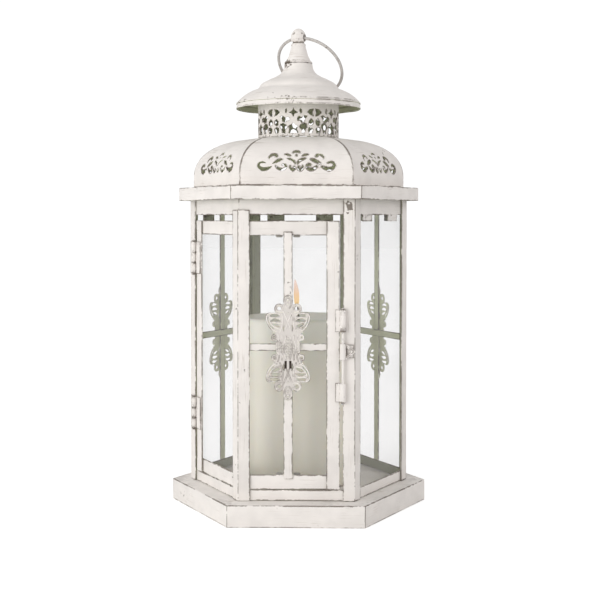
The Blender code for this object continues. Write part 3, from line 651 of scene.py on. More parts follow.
def flame_material():
    """Pale warm light, clearer and redder towards the tip."""
    made, tree, shader = new_material("candle_flame")
    place = wire(tree, "ShaderNodeTexCoord").outputs["Object"]
    height = wire(tree, "ShaderNodeSeparateXYZ", {0: place}).outputs[2]
    share = ramp(tree, height, FLAME_LOW, FLAME_LOW + bpy.context.scene.lantern_sizes.flame_height)
    colour = mix_colour(tree, share, (0.96, 0.66, 0.30, 1.0), (0.88, 0.50, 0.34, 1.0))
    shader.inputs["Base Color"].default_value = (0.02, 0.015, 0.01, 1.0)
    tree.links.new(colour, shader.inputs["Emission Color"])
    shader.inputs["Emission Strength"].default_value = 1.0
    shader.inputs["Specular IOR Level"].default_value = 0.0
    shader.inputs["Roughness"].default_value = 0.8
    tree.links.new(ramp(tree, share, 0.1, 1.0, 0.78, 0.35), shader.inputs["Alpha"])
    return made


def wick_material():
    made, tree, shader = new_material("burnt_wick")
    place = wire(tree, "ShaderNodeTexCoord").outputs["Object"]
    char = wire(tree, "ShaderNodeTexNoise", {"Vector": place, "Scale": 900.0, "Detail": 3.0}).outputs[0]
    colour = mix_colour(tree, char, (0.02, 0.015, 0.012, 1.0), (0.16, 0.12, 0.09, 1.0))
    tree.links.new(colour, shader.inputs["Base Color"])
    shader.inputs["Roughness"].default_value = 0.95
    bump = wire(tree, "ShaderNodeBump", {"Height": char, "Strength": 0.6, "Distance": 0.1 * MM})
    tree.links.new(bump.outputs[0], shader.inputs["Normal"])
    return made


def steel_material():
    """Plain dull steel, for what the paint doesn't reach."""
    made, tree, shader = new_material("dull_steel")
    place = wire(tree, "ShaderNodeTexCoord").outputs["Object"]
    cloud = wire(tree, "ShaderNodeTexNoise", {"Vector": place, "Scale": 400.0, "Detail": 4.0}).outputs[0]
    colour = mix_colour(tree, cloud, (0.20, 0.19, 0.17, 1.0), (0.42, 0.40, 0.37, 1.0))
    tree.links.new(colour, shader.inputs["Base Color"])
    shader.inputs["Metallic"].default_value = 0.8
    tree.links.new(ramp(tree, cloud, 0.3, 0.7, 0.35, 0.6), shader.inputs["Roughness"])
    return made


# ---------------------------------------------------------------- sheet pieces

UPRIGHT_PIECES = ["post_left", "post_rear_left", "post_rear_right", "post_right",
                  "post_front_right", "door_corner_post", "door_hinge_stile", "door_latch_stile",
                  "door_upright_bar"]
LEVEL_PIECES = ["plinth", "sill_band", "frieze_band", "eave_band", "door_front_top_rail",
                "door_front_bottom_rail", "door_side_top_rail", "door_side_bottom_rail",
                "door_cross_bar"]
REAR_BARS = ["upright_bar_rear_left", "upright_bar_rear_right", "cross_bar_rear_left",
             "cross_bar_rear_right"]
HARDWARE_PIECES = ["upper_hinge_fixed_leaf", "upper_hinge_door_leaf", "upper_hinge_pin",
                   "lower_hinge_fixed_leaf", "lower_hinge_door_leaf", "lower_hinge_pin",
                   "latch_bracket_upper", "latch_bracket_lower", "latch_rod", "keeper"]


def finish_sheet(nodes, finish, width):
    for node in nodes:
        item = rounded(node_copy(node), width)
        settle(item, finish, body_of(node), SLOT_OF[node], node)


def make_hasp(finish):
    """A three-cornered hasp bent from one strip: a knuckle on the rod and an open loop to its right."""
    low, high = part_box("hasp")
    axis = sum(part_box("latch_rod"), Vector()) / 2
    middle, half = (low.z + high.z) / 2, (high.z - low.z) / 2
    tip = high.x - axis.x
    radius = (high.y - low.y) / 2
    bore = radius - 0.7 * MM
    start = bore + 0.25 * MM
    outline = [(start, -half), (tip, -0.8 * MM), (tip, 0.8 * MM), (start, half)]
    eye = [(2.1 * MM, -2.4 * MM), (4.4 * MM, -0.5 * MM), (4.4 * MM, 0.5 * MM), (2.1 * MM, 2.4 * MM)]
    work = flat_sheet([outline, eye], "hasp")
    sheet = baked(walled(from_work(work, "hasp_sheet"), 0.6 * MM))
    sheet.data.transform(Matrix.Translation((0, 0, 0.3 * MM)))
    loop = [(start + 0.3 * MM, -half + 0.4 * MM, 0.3 * MM, 1), (tip - 0.5 * MM, -0.5 * MM, 0.3 * MM, 1),
            (tip - 0.35 * MM, 0, 0.3 * MM, 1), (tip - 0.5 * MM, 0.5 * MM, 0.3 * MM, 1),
            (start + 0.3 * MM, half - 0.4 * MM, 0.3 * MM, 1)]
    hem = wire_along(loop, 0.45 * MM, "hasp_hem", sides=2)
    item = joined([sheet, hem], "hasp_loop")
    item.data.transform(Matrix.Translation((axis.x, axis.y, middle)) @ Matrix.Rotation(radians(90), 4, "X"))
    line = [(bore, high.z), (radius, high.z), (radius, low.z), (bore, low.z), (bore, high.z)]
    work = lathe(line, 32)
    bmesh.ops.remove_doubles(work, verts=work.verts, dist=MERGE)
    bmesh.ops.translate(work, verts=work.verts, vec=(axis.x, axis.y, 0))
    knuckle = from_work(work, "hasp_knuckle")
    item = crisp(joined([item, knuckle], "hasp_bent"))
    settle(item, finish, body_of("hasp"), SLOT_OF["hasp"], "hasp")


def make_clips(finish):
    """Small clips beside the door's upright bar, which hold the front pane under its rails; their dark steel also
    paints in the shade they sit in under the rails.
    """
    bar_low, bar_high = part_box("door_upright_bar")
    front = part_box("door_glass_front")[0].y
    upper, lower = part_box("door_front_top_rail")[0].z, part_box("door_front_bottom_rail")[1].z
    clips = []
    for z in (upper - 0.5 * MM, lower + 0.5 * MM):
        for x in (bar_low.x - 2.6 * MM, bar_high.x + 2.6 * MM):
            work = box_at((x, front - 0.2 * MM, z), (4.2 * MM, 0.3 * MM, 1.4 * MM))
            bevel = [edge for edge in work.edges if abs(edge.verts[0].co.y - edge.verts[1].co.y) > MERGE]
            bmesh.ops.bevel(work, geom=bevel, offset=0.4 * MM, segments=3, affect="EDGES")
            clips.append(from_work(work, "clip"))
    settle(crisp(joined(clips, "pane_clips")), finish, body_of("door_glass_front"), "plain_steel")


# ---------------------------------------------------------------- roof


def roof_section(steps):
    """The roof's section in a corner's plane, from its foot to its crown."""
    foot, crown = FOOT_RADIUS, COLLAR_RADIUS - 2.1 * MM
    upright, power = 6.2 * MM, 2.25
    rise, dome = ROOF_LOW + upright, ROOF_HIGH - ROOF_LOW - upright
    line = [(foot, ROOF_LOW), (foot, ROOF_LOW + upright / 2)]
    for step in range(steps + 1):
        t = pi / 2 * step / steps
        line.append((crown + (foot - crown) * max(cos(t), 0.0) ** (2 / power),
                     rise + dome * sin(t) ** (2 / power)))
    return line


def section_lengths(section):
    """Distance along the middle of a petal's face to each point of the section."""
    lengths = [0.0]
    for (r0, z0), (r1, z1) in zip(section, section[1:]):
        lengths.append(lengths[-1] + hypot((r1 - r0) * COS30, z1 - z0))
    return lengths


def between(value, keys, values):
    """Reads a table of rising keys, straight between its entries."""
    if value <= keys[0]:
        return values[0]
    for k0, k1, v0, v1 in zip(keys, keys[1:], values, values[1:]):
        if value <= k1:
            return v0 + (v1 - v0) * (value - k0) / (k1 - k0)
    return values[-1]


def roof_scrolls():
    """Half of the pierced band, in millimetres right of its middle and above its centre line."""
    comma = [(14.6, -2.9, 0.2), (16.9, -4.1, 1.3), (19.6, -4.7, 1.8), (21.9, -3.7, 1.5),
             (22.7, -1.9, 1.1), (21.5, -0.7, 0.9), (19.7, -0.5, 0.8), (18.2, -1.1, 0.2)]
    hook = [(16.2, 1.2, 0.2), (16.3, 2.7, 0.7), (14.6, 4.0, 0.75), (12.5, 4.0, 1.0),
            (11.9, 3.1, 1.1), (12.3, 2.5, 0.3)]
    leaf = [(14.6, -1.5, 0.2), (12.4, -0.3, 1.1), (10.2, 0.8, 1.3), (8.2, 1.4, 0.2)]
    bowl = [(12.8, -2.2, 0.2), (11.3, -3.9, 0.9), (9.2, -4.9, 1.2), (7.0, -4.4, 1.0),
            (6.2, -3.0, 0.8), (7.0, -1.9, 0.8), (8.2, -2.1, 0.9), (8.3, -2.8, 0.3)]
    curl = [(3.7, -2.4, 0.2), (3.6, -4.1, 0.9), (2.2, -5.2, 1.0), (1.0, -4.3, 0.7),
            (1.4, -3.2, 0.6), (2.2, -3.3, 0.2)]
    branch = [(5.8, 1.9, 0.2), (3.8, 1.4, 0.8), (2.0, 0.5, 0.9), (0.9, -0.7, 0.6), (0.6, -1.8, 0.2)]
    dash = [(7.2, 4.2, 0.2), (5.3, 4.0, 0.8), (3.3, 3.3, 0.2)]
    return [stroke([(x, y, wide * 1.25) for x, y, wide in points])
            for points in (comma, hook, leaf, bowl, curl, branch, dash)]


def make_petal(side, face, finish):
    sizes = bpy.context.scene.lantern_sizes
    section = roof_section(sizes.roof_cuts)
    lengths = section_lengths(section)
    heights = [z for _, z in section]
    edge = [(r / 2, t) for (r, _), t in zip(section, lengths)]
    outline = edge + [(-x, t) for x, t in edge[::-1]]
    crest = stroke([(-2.3, 5.0, 0.2), (-1.5, 5.8, 0.8), (0.0, 6.1, 1.1), (1.5, 5.8, 0.8), (2.3, 5.0, 0.2)])
    holes = [*both_hands(roof_scrolls()), crest, dot(0, 3.6, 0.55)]
    centre = EAVE_TOP + sizes.scroll_rise
    holes = [[(x, between(centre + y, heights, lengths)) for x, y in hole] for hole in holes]
    work = flat_sheet([outline, *holes], "petal")
    cut_across(work, lengths[1:-1], 1)
    place = side_frame(face)
    for vertex in work.verts:
        x, t = vertex.co.x, vertex.co.y
        spot = Vector((x, between(t, lengths, heights),
                       between(t, lengths, [r * COS30 for r, _ in section]) + 0.3 * MM))
        vertex.co = place @ spot
    node = "roof_petal_" + side
    item = crisp(walled(from_work(work, node + "_pierced"), SHEET))
    settle(item, finish, body_of(node), SLOT_OF[node], node)


# ---------------------------------------------------------------- collar


def collar_tile():
    """A sixth of the collar's pattern: a star over an urn, with wings and leaves at its sides."""
    star = [(0, 8.2), (0.8, 5.9), (3.2, 5.0), (0.8, 4.1), (0, 1.9), (-0.8, 4.1), (-3.2, 5.0), (-0.8, 5.9)]
    urn = [(0, -1.2), (1.1, -2.7), (3.1, -3.6), (2.3, -5.4), (3.2, -8.0), (-3.2, -8.0), (-2.3, -5.4),
           (-3.1, -3.6), (-1.1, -2.7)]
    wing = [(2.2, 1.4), (3.4, 2.6), (5.1, 1.8), (7.2, 3.2), (9.0, 2.7), (7.7, 1.4), (7.1, -0.7),
            (5.3, -1.4), (4.2, 0.0), (2.6, -0.3)]
    leaf = [(3.8, -4.4), (4.7, -2.6), (6.6, -1.5), (8.4, -2.2), (9.0, -4.1), (7.8, -5.2), (7.2, -7.6),
            (5.2, -8.0), (5.3, -5.9)]
    heart = [(9.8, -0.8), (11.3, 1.1), (12.9, -0.4), (12.6, -2.3), (11.2, -3.4), (9.9, -2.6)]
    seed = [(9.8, -4.5), (11.4, -4.2), (12.8, -5.6), (12.0, -8.0), (9.9, -7.9), (9.3, -6.0)]
    barb = [(8.6, 5.2), (10.6, 6.8), (13.0, 7.2), (12.2, 4.9), (13.0, 2.6), (11.0, 3.3)]
    drop = [(4.6, 4.2), (5.4, 5.2), (5.2, 7.0), (4.3, 7.6), (3.9, 6.2)]
    shapes = both_hands([wing, leaf, heart, seed, barb, drop]) + [star, urn]
    beads = [dot(x, -9.1, 0.36, 8) for x in (-10.2, -6.8, -3.4, 0.0, 3.4, 6.8, 10.2)]
    return [[(x * MM, y * MM) for x, y in shape] for shape in shapes] + beads


def ring_of_tiles():
    """A geometry tree that repeats a tile round the axis and joins the copies up."""
    tree = bpy.data.node_groups.new("ring_of_tiles", "GeometryNodeTree")
    tree.interface.new_socket("Geometry", in_out="OUTPUT", socket_type="NodeSocketGeometry")
    for label, kind in (("Tile", "Object"), ("Copies", "Int"), ("Finish", "Material")):
        tree.interface.new_socket(label, in_out="INPUT", socket_type="NodeSocket" + kind)
    given = tree.nodes.new("NodeGroupInput").outputs
    tile = wire(tree, "GeometryNodeObjectInfo", {"Object": given["Tile"]}).outputs["Geometry"]
    origin = wire(tree, "GeometryNodePoints", {"Count": given["Copies"]}).outputs[0]
    step = wire(tree, "ShaderNodeMath", {0: 2 * pi, 1: given["Copies"]}, operation="DIVIDE").outputs[0]
    index = wire(tree, "GeometryNodeInputIndex").outputs[0]
    angle = wire(tree, "ShaderNodeMath", {0: index, 1: step}, operation="MULTIPLY").outputs[0]
    turn = wire(tree, "ShaderNodeCombineXYZ", {"Z": angle}).outputs[0]
    copies = wire(tree, "GeometryNodeInstanceOnPoints",
                  {"Points": origin, "Instance": tile, "Rotation": turn}).outputs[0]
    real = wire(tree, "GeometryNodeRealizeInstances", {"Geometry": copies}).outputs[0]
    whole = wire(tree, "GeometryNodeMergeByDistance", {"Geometry": real, "Distance": MERGE * 2}).outputs[0]
    done = wire(tree, "GeometryNodeSetMaterial", {"Geometry": whole, "Material": given["Finish"]})
    out = tree.nodes.new("NodeGroupOutput")
    tree.links.new(done.outputs[0], out.inputs["Geometry"])
    return tree


def grown(tree, name, **values):
    """Runs a geometry tree with these inputs and gives its result as a plain mesh object."""
    holder = added(bpy.data.meshes.new(name), name)
    grow = holder.modifiers.new("grow", "NODES")
    grow.node_group = tree
    keys = {entry.name: entry.identifier for entry in tree.interface.items_tree
            if entry.item_type == "SOCKET" and entry.in_out == "INPUT"}
    for label, value in values.items():
        grow[keys[label]] = value
    return baked(holder)


def make_collar(finish):
    half = pi * COLLAR_RADIUS / 6
    centre = COLLAR_LOW + 9.8 * MM
    outline = [(-half, COLLAR_LOW), (half, COLLAR_LOW), (half, COLLAR_HIGH), (-half, COLLAR_HIGH)]
    work = flat_sheet([outline, *raised_by(collar_tile(), centre)], "collar_tile")
    cut_across(work, [half * (i / 6 - 1) for i in range(1, 12)], 0)
    start = radians(264)
    for vertex in work.verts:
        turn = start + vertex.co.x / COLLAR_RADIUS
        vertex.co = Vector((COLLAR_RADIUS * cos(turn), COLLAR_RADIUS * sin(turn), vertex.co.y))
    tile = from_work(work, "collar_tile")
    whole = grown(ring_of_tiles(), "collar_pierced", Tile=tile, Copies=6, Finish=finish)
    bpy.data.objects.remove(tile)
    settle(crisp(walled(whole, SHEET)), finish, body_of("collar"), SLOT_OF["collar"], "collar")


# ---------------------------------------------------------------- cap, knob and ring


RING_HOLE = 1.9 * MM
CAP_STEP_RADIUS = 19.5 * MM


def cap_profile():
    """The bell's outer line: neck, dome, a pressed step, a skirt and a rim with a rolled foot."""
    shoulder, neck = CAP_LOW + 4.3 * MM, 9.0 * MM
    span, reach = CAP_HIGH - shoulder, CAP_RADIUS - neck
    shares = [(0.0, 1.0), (0.01, 0.92), (0.035, 0.83), (0.09, 0.745), (0.175, 0.675), (0.265, 0.62),
              (0.365, 0.57), (0.45, 0.515), (0.505, 0.45), (0.535, 0.385), (0.575, 0.345),
              (0.64, 0.315), (0.72, 0.27), (0.81, 0.205), (0.885, 0.135), (0.945, 0.065), (0.972, 0.03)]
    bell = smooth_line([(neck + reach * a, shoulder + span * b) for a, b in shares], 4)
    stepped = [(radius, height - 0.25 * MM * smooth_step(radius, CAP_STEP_RADIUS))
               for radius, height in bell]
    bead = [(CAP_RADIUS - 0.75 * MM, shoulder + 0.1 * MM), (CAP_RADIUS - 0.3 * MM, shoulder - 0.1 * MM),
            (CAP_RADIUS, shoulder - 0.5 * MM), (CAP_RADIUS - 0.1 * MM, shoulder - 0.95 * MM),
            (CAP_RADIUS - 0.45 * MM, shoulder - 1.2 * MM)]
    foot = [(CAP_RADIUS - 0.4 * MM + 0.4 * MM * cos(t), CAP_LOW + 0.62 * MM + 0.55 * MM * sin(t))
            for t in (1.2, 0.6, 0.0, -0.6, -1.2)]
    return [(2.3 * MM, CAP_HIGH), (6.0 * MM, CAP_HIGH), *stepped, *bead, *foot]


def smooth_step(value, centre, width=0.5 * MM):
    share = min(max((value - centre) / width + 0.5, 0.0), 1.0)
    return share * share * (3 - 2 * share)


def make_cap(finish):
    work = lathe(cap_profile(), 96)
    for vertex in work.verts:
        radius = hypot(vertex.co.x, vertex.co.y)
        dent = noise.noise(vertex.co * 60) * 0.25 * MM * min(radius / CAP_RADIUS, 1.0)
        vertex.co.z += dent
    item = crisp(walled(from_work(work, "cap_bell"), SHEET))
    settle(item, finish, body_of("cap"), SLOT_OF["cap"], "cap")


def make_top_fitting(finish):
    low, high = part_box("neck_sleeve")[0].z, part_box("neck_sleeve")[1].z
    bore, top, foot = 2.3 * MM, 4.6 * MM, 9.0 * MM
    tall = high - low
    line = [(bore, high), (top - 0.5 * MM, high), (top, high - 0.35 * MM),
            (top + 0.15 * MM, high - 1.1 * MM), (top - 0.05 * MM, high - 1.6 * MM), (top + 0.7 * MM, low + tall * 0.66),
            (top + 1.6 * MM, low + tall * 0.4), (foot - 1.3 * MM, low + 2.2 * MM),
            (foot - 1.15 * MM, low + 1.6 * MM), (foot - 0.25 * MM, low + 1.1 * MM),
            (foot, low + 0.6 * MM), (foot - 0.1 * MM, low), (bore, low), (bore, high)]
    work = lathe(line, 64)
    bmesh.ops.remove_doubles(work, verts=work.verts, dist=MERGE)
    item = crisp(from_work(work, "neck_sleeve_turned"))
    settle(item, finish, body_of("neck_sleeve"), SLOT_OF["neck_sleeve"], "neck_sleeve")
    middle = RING["pos_m"][2]
    dome = [(KNOB_RADIUS * sin(pi / 2 * i / 8), middle + (KNOB_TOP - middle) * cos(pi / 2 * i / 8))
            for i in range(9)]
    low_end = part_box("knob")[0].z
    line = [*dome, (KNOB_RADIUS * 0.97, middle - 1.4 * MM), (KNOB_RADIUS * 0.86, middle - 2.2 * MM),
            (KNOB_RADIUS * 0.70, KNOB_LOW + 0.6 * MM), (KNOB_RADIUS * 0.74, KNOB_LOW),
            (2.0 * MM, KNOB_LOW), (2.0 * MM, low_end), (0, low_end)]
    work = lathe(line, 48)
    knob = from_work(work, "knob_turned")
    drill = bmesh.new()
    bmesh.ops.create_cone(drill, cap_ends=True, segments=24, radius1=RING_HOLE, radius2=RING_HOLE,
                          depth=KNOB_RADIUS * 3)
    cutter = from_work(drill, "knob_hole")
    axis = Vector(RING["axis"])
    cutter.matrix_world = (Matrix.Translation(RING["pos_m"])
                           @ axis.to_track_quat("Z", "Y").to_matrix().to_4x4())
    cut = knob.modifiers.new("hole", "BOOLEAN")
    cut.operation = "DIFFERENCE"
    cut.object = cutter
    knob = baked(knob)
    bpy.data.objects.remove(cutter)
    settle(rounded(knob, 0.15 * MM), finish, body_of("knob"), SLOT_OF["knob"], "knob")


def make_ring(finish):
    """A ring of round wire, its two ends butted with a hair's gap inside the knob."""
    axis = Vector(RING["axis"])
    low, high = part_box("ring_handle")
    hinge = Vector(RING["pos_m"])
    middle = (low + high) / 2
    down = (middle - hinge).normalized()
    radius = (middle - hinge).length
    count = 120
    points = []
    for i in range(count + 1):
        turn = 0.012 + (2 * pi - 0.024) * i / count
        spot = hinge + axis * radius * sin(turn) + down * radius * (1 - cos(turn))
        points.append((*spot, 1.0 + 0.05 * noise.noise(spot * 120)))
    item = wire_along(points, 1.0 * MM, "ring_handle_wire", sides=4)
    settle(item, finish, "ring", SLOT_OF["ring_handle"], "ring_handle")


# ---------------------------------------------------------------- ornaments

PLATE = 0.45 * MM
SLOT_PLACES = (-1.4, 1.4)
SLOT_HALF, SLOT_HIGH, SLOT_LOW = 0.6, -8.0, -12.5


def lace_quarter():
    """Edge of a quarter of the ornament in millimetres, from its waist up to its tip."""
    return [(7.3, 0.0), (7.1, 1.2), (7.4, 2.4), (6.8, 3.5), (7.8, 4.0), (9.3, 4.4), (10.0, 5.5),
            (9.8, 6.8), (8.9, 7.9), (7.6, 8.2), (8.0, 9.2), (9.8, 10.4), (11.6, 12.5), (12.8, 15.0),
            (13.3, 17.6), (13.1, 19.4), (12.1, 20.6), (10.4, 20.9), (8.8, 20.4), (7.4, 20.5), (8.0, 21.8),
            (8.2, 23.4), (7.6, 25.0), (6.2, 26.1), (4.5, 26.2), (3.3, 25.6), (2.5, 26.4), (2.9, 27.8),
            (2.6, 29.4), (1.6, 30.8), (0.0, 31.6)]


def lace_holes():
    """The quarter's holes: four in the wing, a slit beside the middle, and one in the curl."""
    crescent = stroke([(12.2, 19.0, 0.3), (12.1, 17.2, 1.1), (11.4, 14.9, 1.2), (10.0, 12.8, 1.1),
                       (8.3, 11.2, 0.3)])
    upper = stroke([(4.9, 18.7, 0.3), (6.8, 19.2, 1.5), (9.2, 19.2, 1.9), (10.9, 18.7, 0.3)])
    middle = stroke([(4.3, 15.6, 0.3), (6.3, 16.2, 1.6), (8.6, 16.2, 2.0), (10.6, 15.9, 0.3)])
    lower = stroke([(4.6, 12.3, 0.3), (6.2, 13.0, 1.5), (8.0, 13.7, 1.3), (9.2, 14.2, 0.3)])
    slit = stroke([(2.4, 9.6, 0.3), (2.7, 11.6, 0.9), (2.2, 13.8, 0.3)])
    return [crescent, upper, middle, lower, slit, dot(5.2, 23.3, 1.15, 12), dot(8.2, 6.1, 0.5, 8)]


def lace_lines():
    """Raised lines of the quarter, as (x, y, thickness share) points in millimetres."""
    wing = [(6.6, 9.6, 0.7), (9.0, 10.7, 1.0), (11.1, 12.9, 1.1), (12.3, 15.3, 1.15), (12.8, 17.6, 1.15),
            (12.4, 19.4, 1.1), (11.0, 20.4, 1.0), (8.8, 20.4, 0.9), (6.6, 20.4, 0.8), (4.6, 19.7, 0.6)]
    loop = [(3.9, 17.2, 0.7), (6.2, 17.7, 0.9), (9.0, 17.8, 1.0), (11.2, 17.5, 1.0), (10.9, 15.6, 1.0),
            (9.9, 13.9, 1.0), (8.4, 12.6, 0.9), (6.4, 11.6, 0.8), (4.4, 11.0, 0.6)]
    rib = [(3.8, 14.3, 0.6), (6.0, 14.7, 0.8), (8.4, 15.0, 0.8), (10.4, 15.0, 0.6)]
    curl = [(2.7, 21.4, 0.7), (4.6, 21.3, 0.9), (6.7, 21.9, 1.0), (7.4, 23.5, 1.05), (6.7, 25.1, 1.0),
            (4.9, 25.5, 0.95), (3.4, 24.4, 0.9), (3.5, 22.9, 0.8)]
    cross = [(3.0, 22.4, 0.7), (2.0, 20.0, 0.95), (0.9, 17.6, 1.0), (0.3, 15.9, 0.9), (-0.6, 13.6, 0.8),
             (-1.4, 11.0, 0.7)]
    vein = [(3.6, 20.2, 0.6), (3.2, 17.0, 0.9), (3.3, 14.2, 0.95), (3.9, 11.4, 0.9), (5.0, 9.0, 0.7)]
    tip = [(0.6, 23.4, 0.7), (1.6, 24.8, 0.9), (2.0, 27.2, 1.0), (2.1, 29.0, 1.0), (1.1, 30.4, 0.9),
           (0.0, 30.9, 0.9)]
    nub = [(5.9, 3.4, 0.7), (7.6, 4.6, 1.0), (9.2, 5.1, 1.0), (9.3, 6.6, 1.0), (8.2, 7.4, 0.9),
           (7.2, 6.6, 0.8), (7.6, 5.7, 0.6)]
    waist = [(6.6, 0.0, 1.0), (6.6, 1.4, 0.9), (6.7, 2.6, 1.0), (5.6, 4.0, 0.9), (5.4, 6.2, 0.9),
             (6.2, 8.4, 0.8)]
    inner = [(4.6, 0.0, 0.9), (4.3, 2.6, 0.9), (3.4, 5.0, 0.9), (3.6, 7.4, 0.8)]
    stem = [(2.2, 0.0, 0.9), (2.4, 2.4, 0.9), (1.6, 4.8, 0.9), (1.3, 7.0, 0.8)]
    return [wing, loop, rib, curl, cross, vein, tip, nub, waist, inner, stem]


def lace_beads():
    """Beads on the middle line and in the waist, as (x, y, radius) in millimetres."""
    beads = [(0.0, y, 0.55) for y in (0.0, 1.9, 3.8, 5.7, 20.6, 26.2)]
    beads += [(x, y, 0.4) for y in (0.9, 2.7, 4.5) for x in (1.1, 3.4, 5.6)]
    return beads + [(0.0, 28.6, 0.8), (8.6, 9.3, 0.5)]


def make_ornament(node, face, finish):
    """A pierced plate with raised lines and beads; two short slots below its middle are painted dark as shade, with
    dark sheets behind them.
    """
    sizes = bpy.context.scene.lantern_sizes
    low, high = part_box(node)
    place = side_frame(face)
    centre = place.inverted() @ ((low + high) / 2)
    back = centre.z - 0.3 * MM
    quarter = [(x * MM, y * MM) for x, y in smooth_line(lace_quarter(), 2)]
    right = quarter[::-1] + [(x, -y) for x, y in quarter[1:]]
    edge = right + [(-x, y) for x, y in right[-2:0:-1]]
    holes = both_hands(lace_holes())
    holes += [[(x, -y) for x, y in hole] for hole in holes]
    corners = ((-SLOT_HALF, SLOT_HIGH), (SLOT_HALF, SLOT_HIGH), (SLOT_HALF, SLOT_LOW),
               (-SLOT_HALF, SLOT_LOW))
    slots = [[((x + dx) * MM, y * MM) for dx, y in corners] for x in SLOT_PLACES]
    holes = [hole for hole in holes if not crosses(hole, slots)] + slots
    work = flat_sheet([edge, *holes], node)
    for vertex in work.verts:
        vertex.co.z = PLATE
    pieces = [baked(walled(from_work(work, node + "_plate"), PLATE))]
    # Dark sheets behind the two slots carry the slots' painted shade.
    pieces += [from_work(box_at((x * MM, -10.25 * MM, 0.1 * MM), (1.15 * MM, 4.45 * MM, 0.1 * MM)),
                         "slot_back") for x in SLOT_PLACES]
    hands = [(hand, end) for hand in (-1, 1) for end in (-1, 1)]
    for points in lace_lines():
        for hand, end in hands:
            line = [(hand * x * MM, end * y * MM, PLATE, thick)
                    for x, y, thick in smooth_line(points, 4)]
            for run in clear_runs(line, slots):
                pieces.append(wire_along(run, sizes.relief, "line", sides=2))
    for x, y, radius in lace_beads():
        for hand, end in hands:
            if (x or hand > 0) and (y or end > 0):
                pieces.append(bead(hand * x, end * y, radius))
    item = crisp(joined(pieces, node + "_lace"))
    mark_rise(item, 0.47 * MM, 0.62 * MM)
    mark_slots(item, slots)
    item.data.transform(place @ Matrix.Translation((centre.x, centre.y, back)))
    settle(item, finish, body_of(node), SLOT_OF[node], node)


def clear_runs(line, slots):
    """The stretches of a line that stay clear of the slots."""
    runs, run = [], []
    for point in line:
        if crosses([point[:2]], [[(x * 1.3, y) for x, y in slot] for slot in slots]):
            runs.append(run)
            run = []
        else:
            run.append(point)
    return [run for run in [*runs, run] if len(run) > 3]


def mark_slots(item, slots):
    """Marks the faces inside the slots, which are painted dark as their shade, as an attribute of the mesh."""
    grown_slots = [[(x + grow, y + grow) for x, y in slot for grow in (-MERGE, MERGE)] for slot in slots]
    pit = item.data.attributes.new("pit", "FLOAT", "FACE")
    for face, entry in zip(item.data.polygons, pit.data):
        entry.value = float(crosses([face.center[:2]], grown_slots))


def bead(x, y, radius):
    """A low round bead on the ornament's face, in millimetres."""
    work = bmesh.new()
    bmesh.ops.create_uvsphere(work, u_segments=12, v_segments=8, radius=radius * MM)
    for vertex in work.verts:
        vertex.co = Vector((vertex.co.x + x * MM, vertex.co.y + y * MM, vertex.co.z * 0.7 + PLATE))
    return from_work(work, "bead")


def crosses(hole, others):
    """True where a hole's box meets the box of one of the others."""
    def box(outline):
        xs, ys = [x for x, _ in outline], [y for _, y in outline]
        return min(xs), min(ys), max(xs), max(ys)
    a = box(hole)
    return any(a[0] < b[2] and b[0] < a[2] and a[1] < b[3] and b[1] < a[3] for b in map(box, others))


# ---------------------------------------------------------------- candle


def make_candle():
    radius, top, low = CANDLE_RADIUS, CANDLE_HIGH, CANDLE_LOW
    line = [(0, top - 2.4 * MM), (3 * MM, top - 2.6 * MM), (9 * MM, top - 2.2 * MM),
            (20 * MM, top - 1.6 * MM), (28 * MM, top - 1.0 * MM), (31.5 * MM, top - 0.2 * MM),
            (33.4 * MM, top),
            (35.0 * MM, top - 0.5 * MM), (radius - 0.1 * MM, top - 1.8 * MM), (radius, top - 5 * MM)]
    line += [(radius, top - 5 * MM - (top - low - 7 * MM) * i / 16) for i in range(1, 17)]
    line += [(radius - 0.4 * MM, low + 0.6 * MM), (radius - 1.4 * MM, low), (0, low)]
    work = lathe(line, 96)
    for vertex in work.verts:
        spot = vertex.co.copy()
        out = Vector((spot.x, spot.y, 0))
        if out.length > 1 * MM and spot.z > low + 1 * MM:
            sway = noise.noise(spot * 30) * 0.25 * MM - 0.25 * MM
            vertex.co += out.normalized() * sway
        if spot.z > top - 3 * MM:
            vertex.co.z += min(noise.noise(spot * 55) * 0.5 * MM - 0.3 * MM, 0.0)
    item = from_work(work, "candle_pillar")
    settle(item, wax_material(), body_of("candle"), SLOT_OF["candle"], "candle")
    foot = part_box("wick")[0].z
    points = []
    for i in range(25):
        share = i / 24
        bend = max(share - 0.55, 0.0) ** 2 * 5.0 * MM
        points.append((-bend, bend * 0.3, foot + (WICK_TOP - foot) * share, 1.0 - 0.25 * share))
    strands = []
    for strand in range(3):
        twist = [(x + 0.28 * MM * cos(z * 2200 + strand * 2 * pi / 3),
                  y + 0.28 * MM * sin(z * 2200 + strand * 2 * pi / 3), z, thick)
                 for x, y, z, thick in points]
        strands.append(wire_along(twist, 0.42 * MM, "strand", sides=2))
    settle(joined(strands, "wick_plait"), wick_material(), body_of("wick"), SLOT_OF["wick"], "wick")


def make_flame():
    tall = bpy.context.scene.lantern_sizes.flame_height
    line = []
    for i in range(21):
        share = 1 - i / 20
        width = 3.9 * MM * (share ** 0.45) * ((1 - share) ** 0.75)
        line.append((width if 0 < i < 20 else 0.0, FLAME_LOW + tall * share))
    work = lathe(line, 32)
    for vertex in work.verts:
        share = (vertex.co.z - FLAME_LOW) / tall
        vertex.co.x += 0.4 * MM * sin(share * 3) - 2.3 * MM * (0.5 + 0.5 * share)
    item = from_work(work, "flame")
    settle(item, flame_material(), "lantern", "flame")


# ---------------------------------------------------------------- stage

SENSOR_WIDTH = 36.0
LIT_POINT = Vector((0, 0, 0.16))


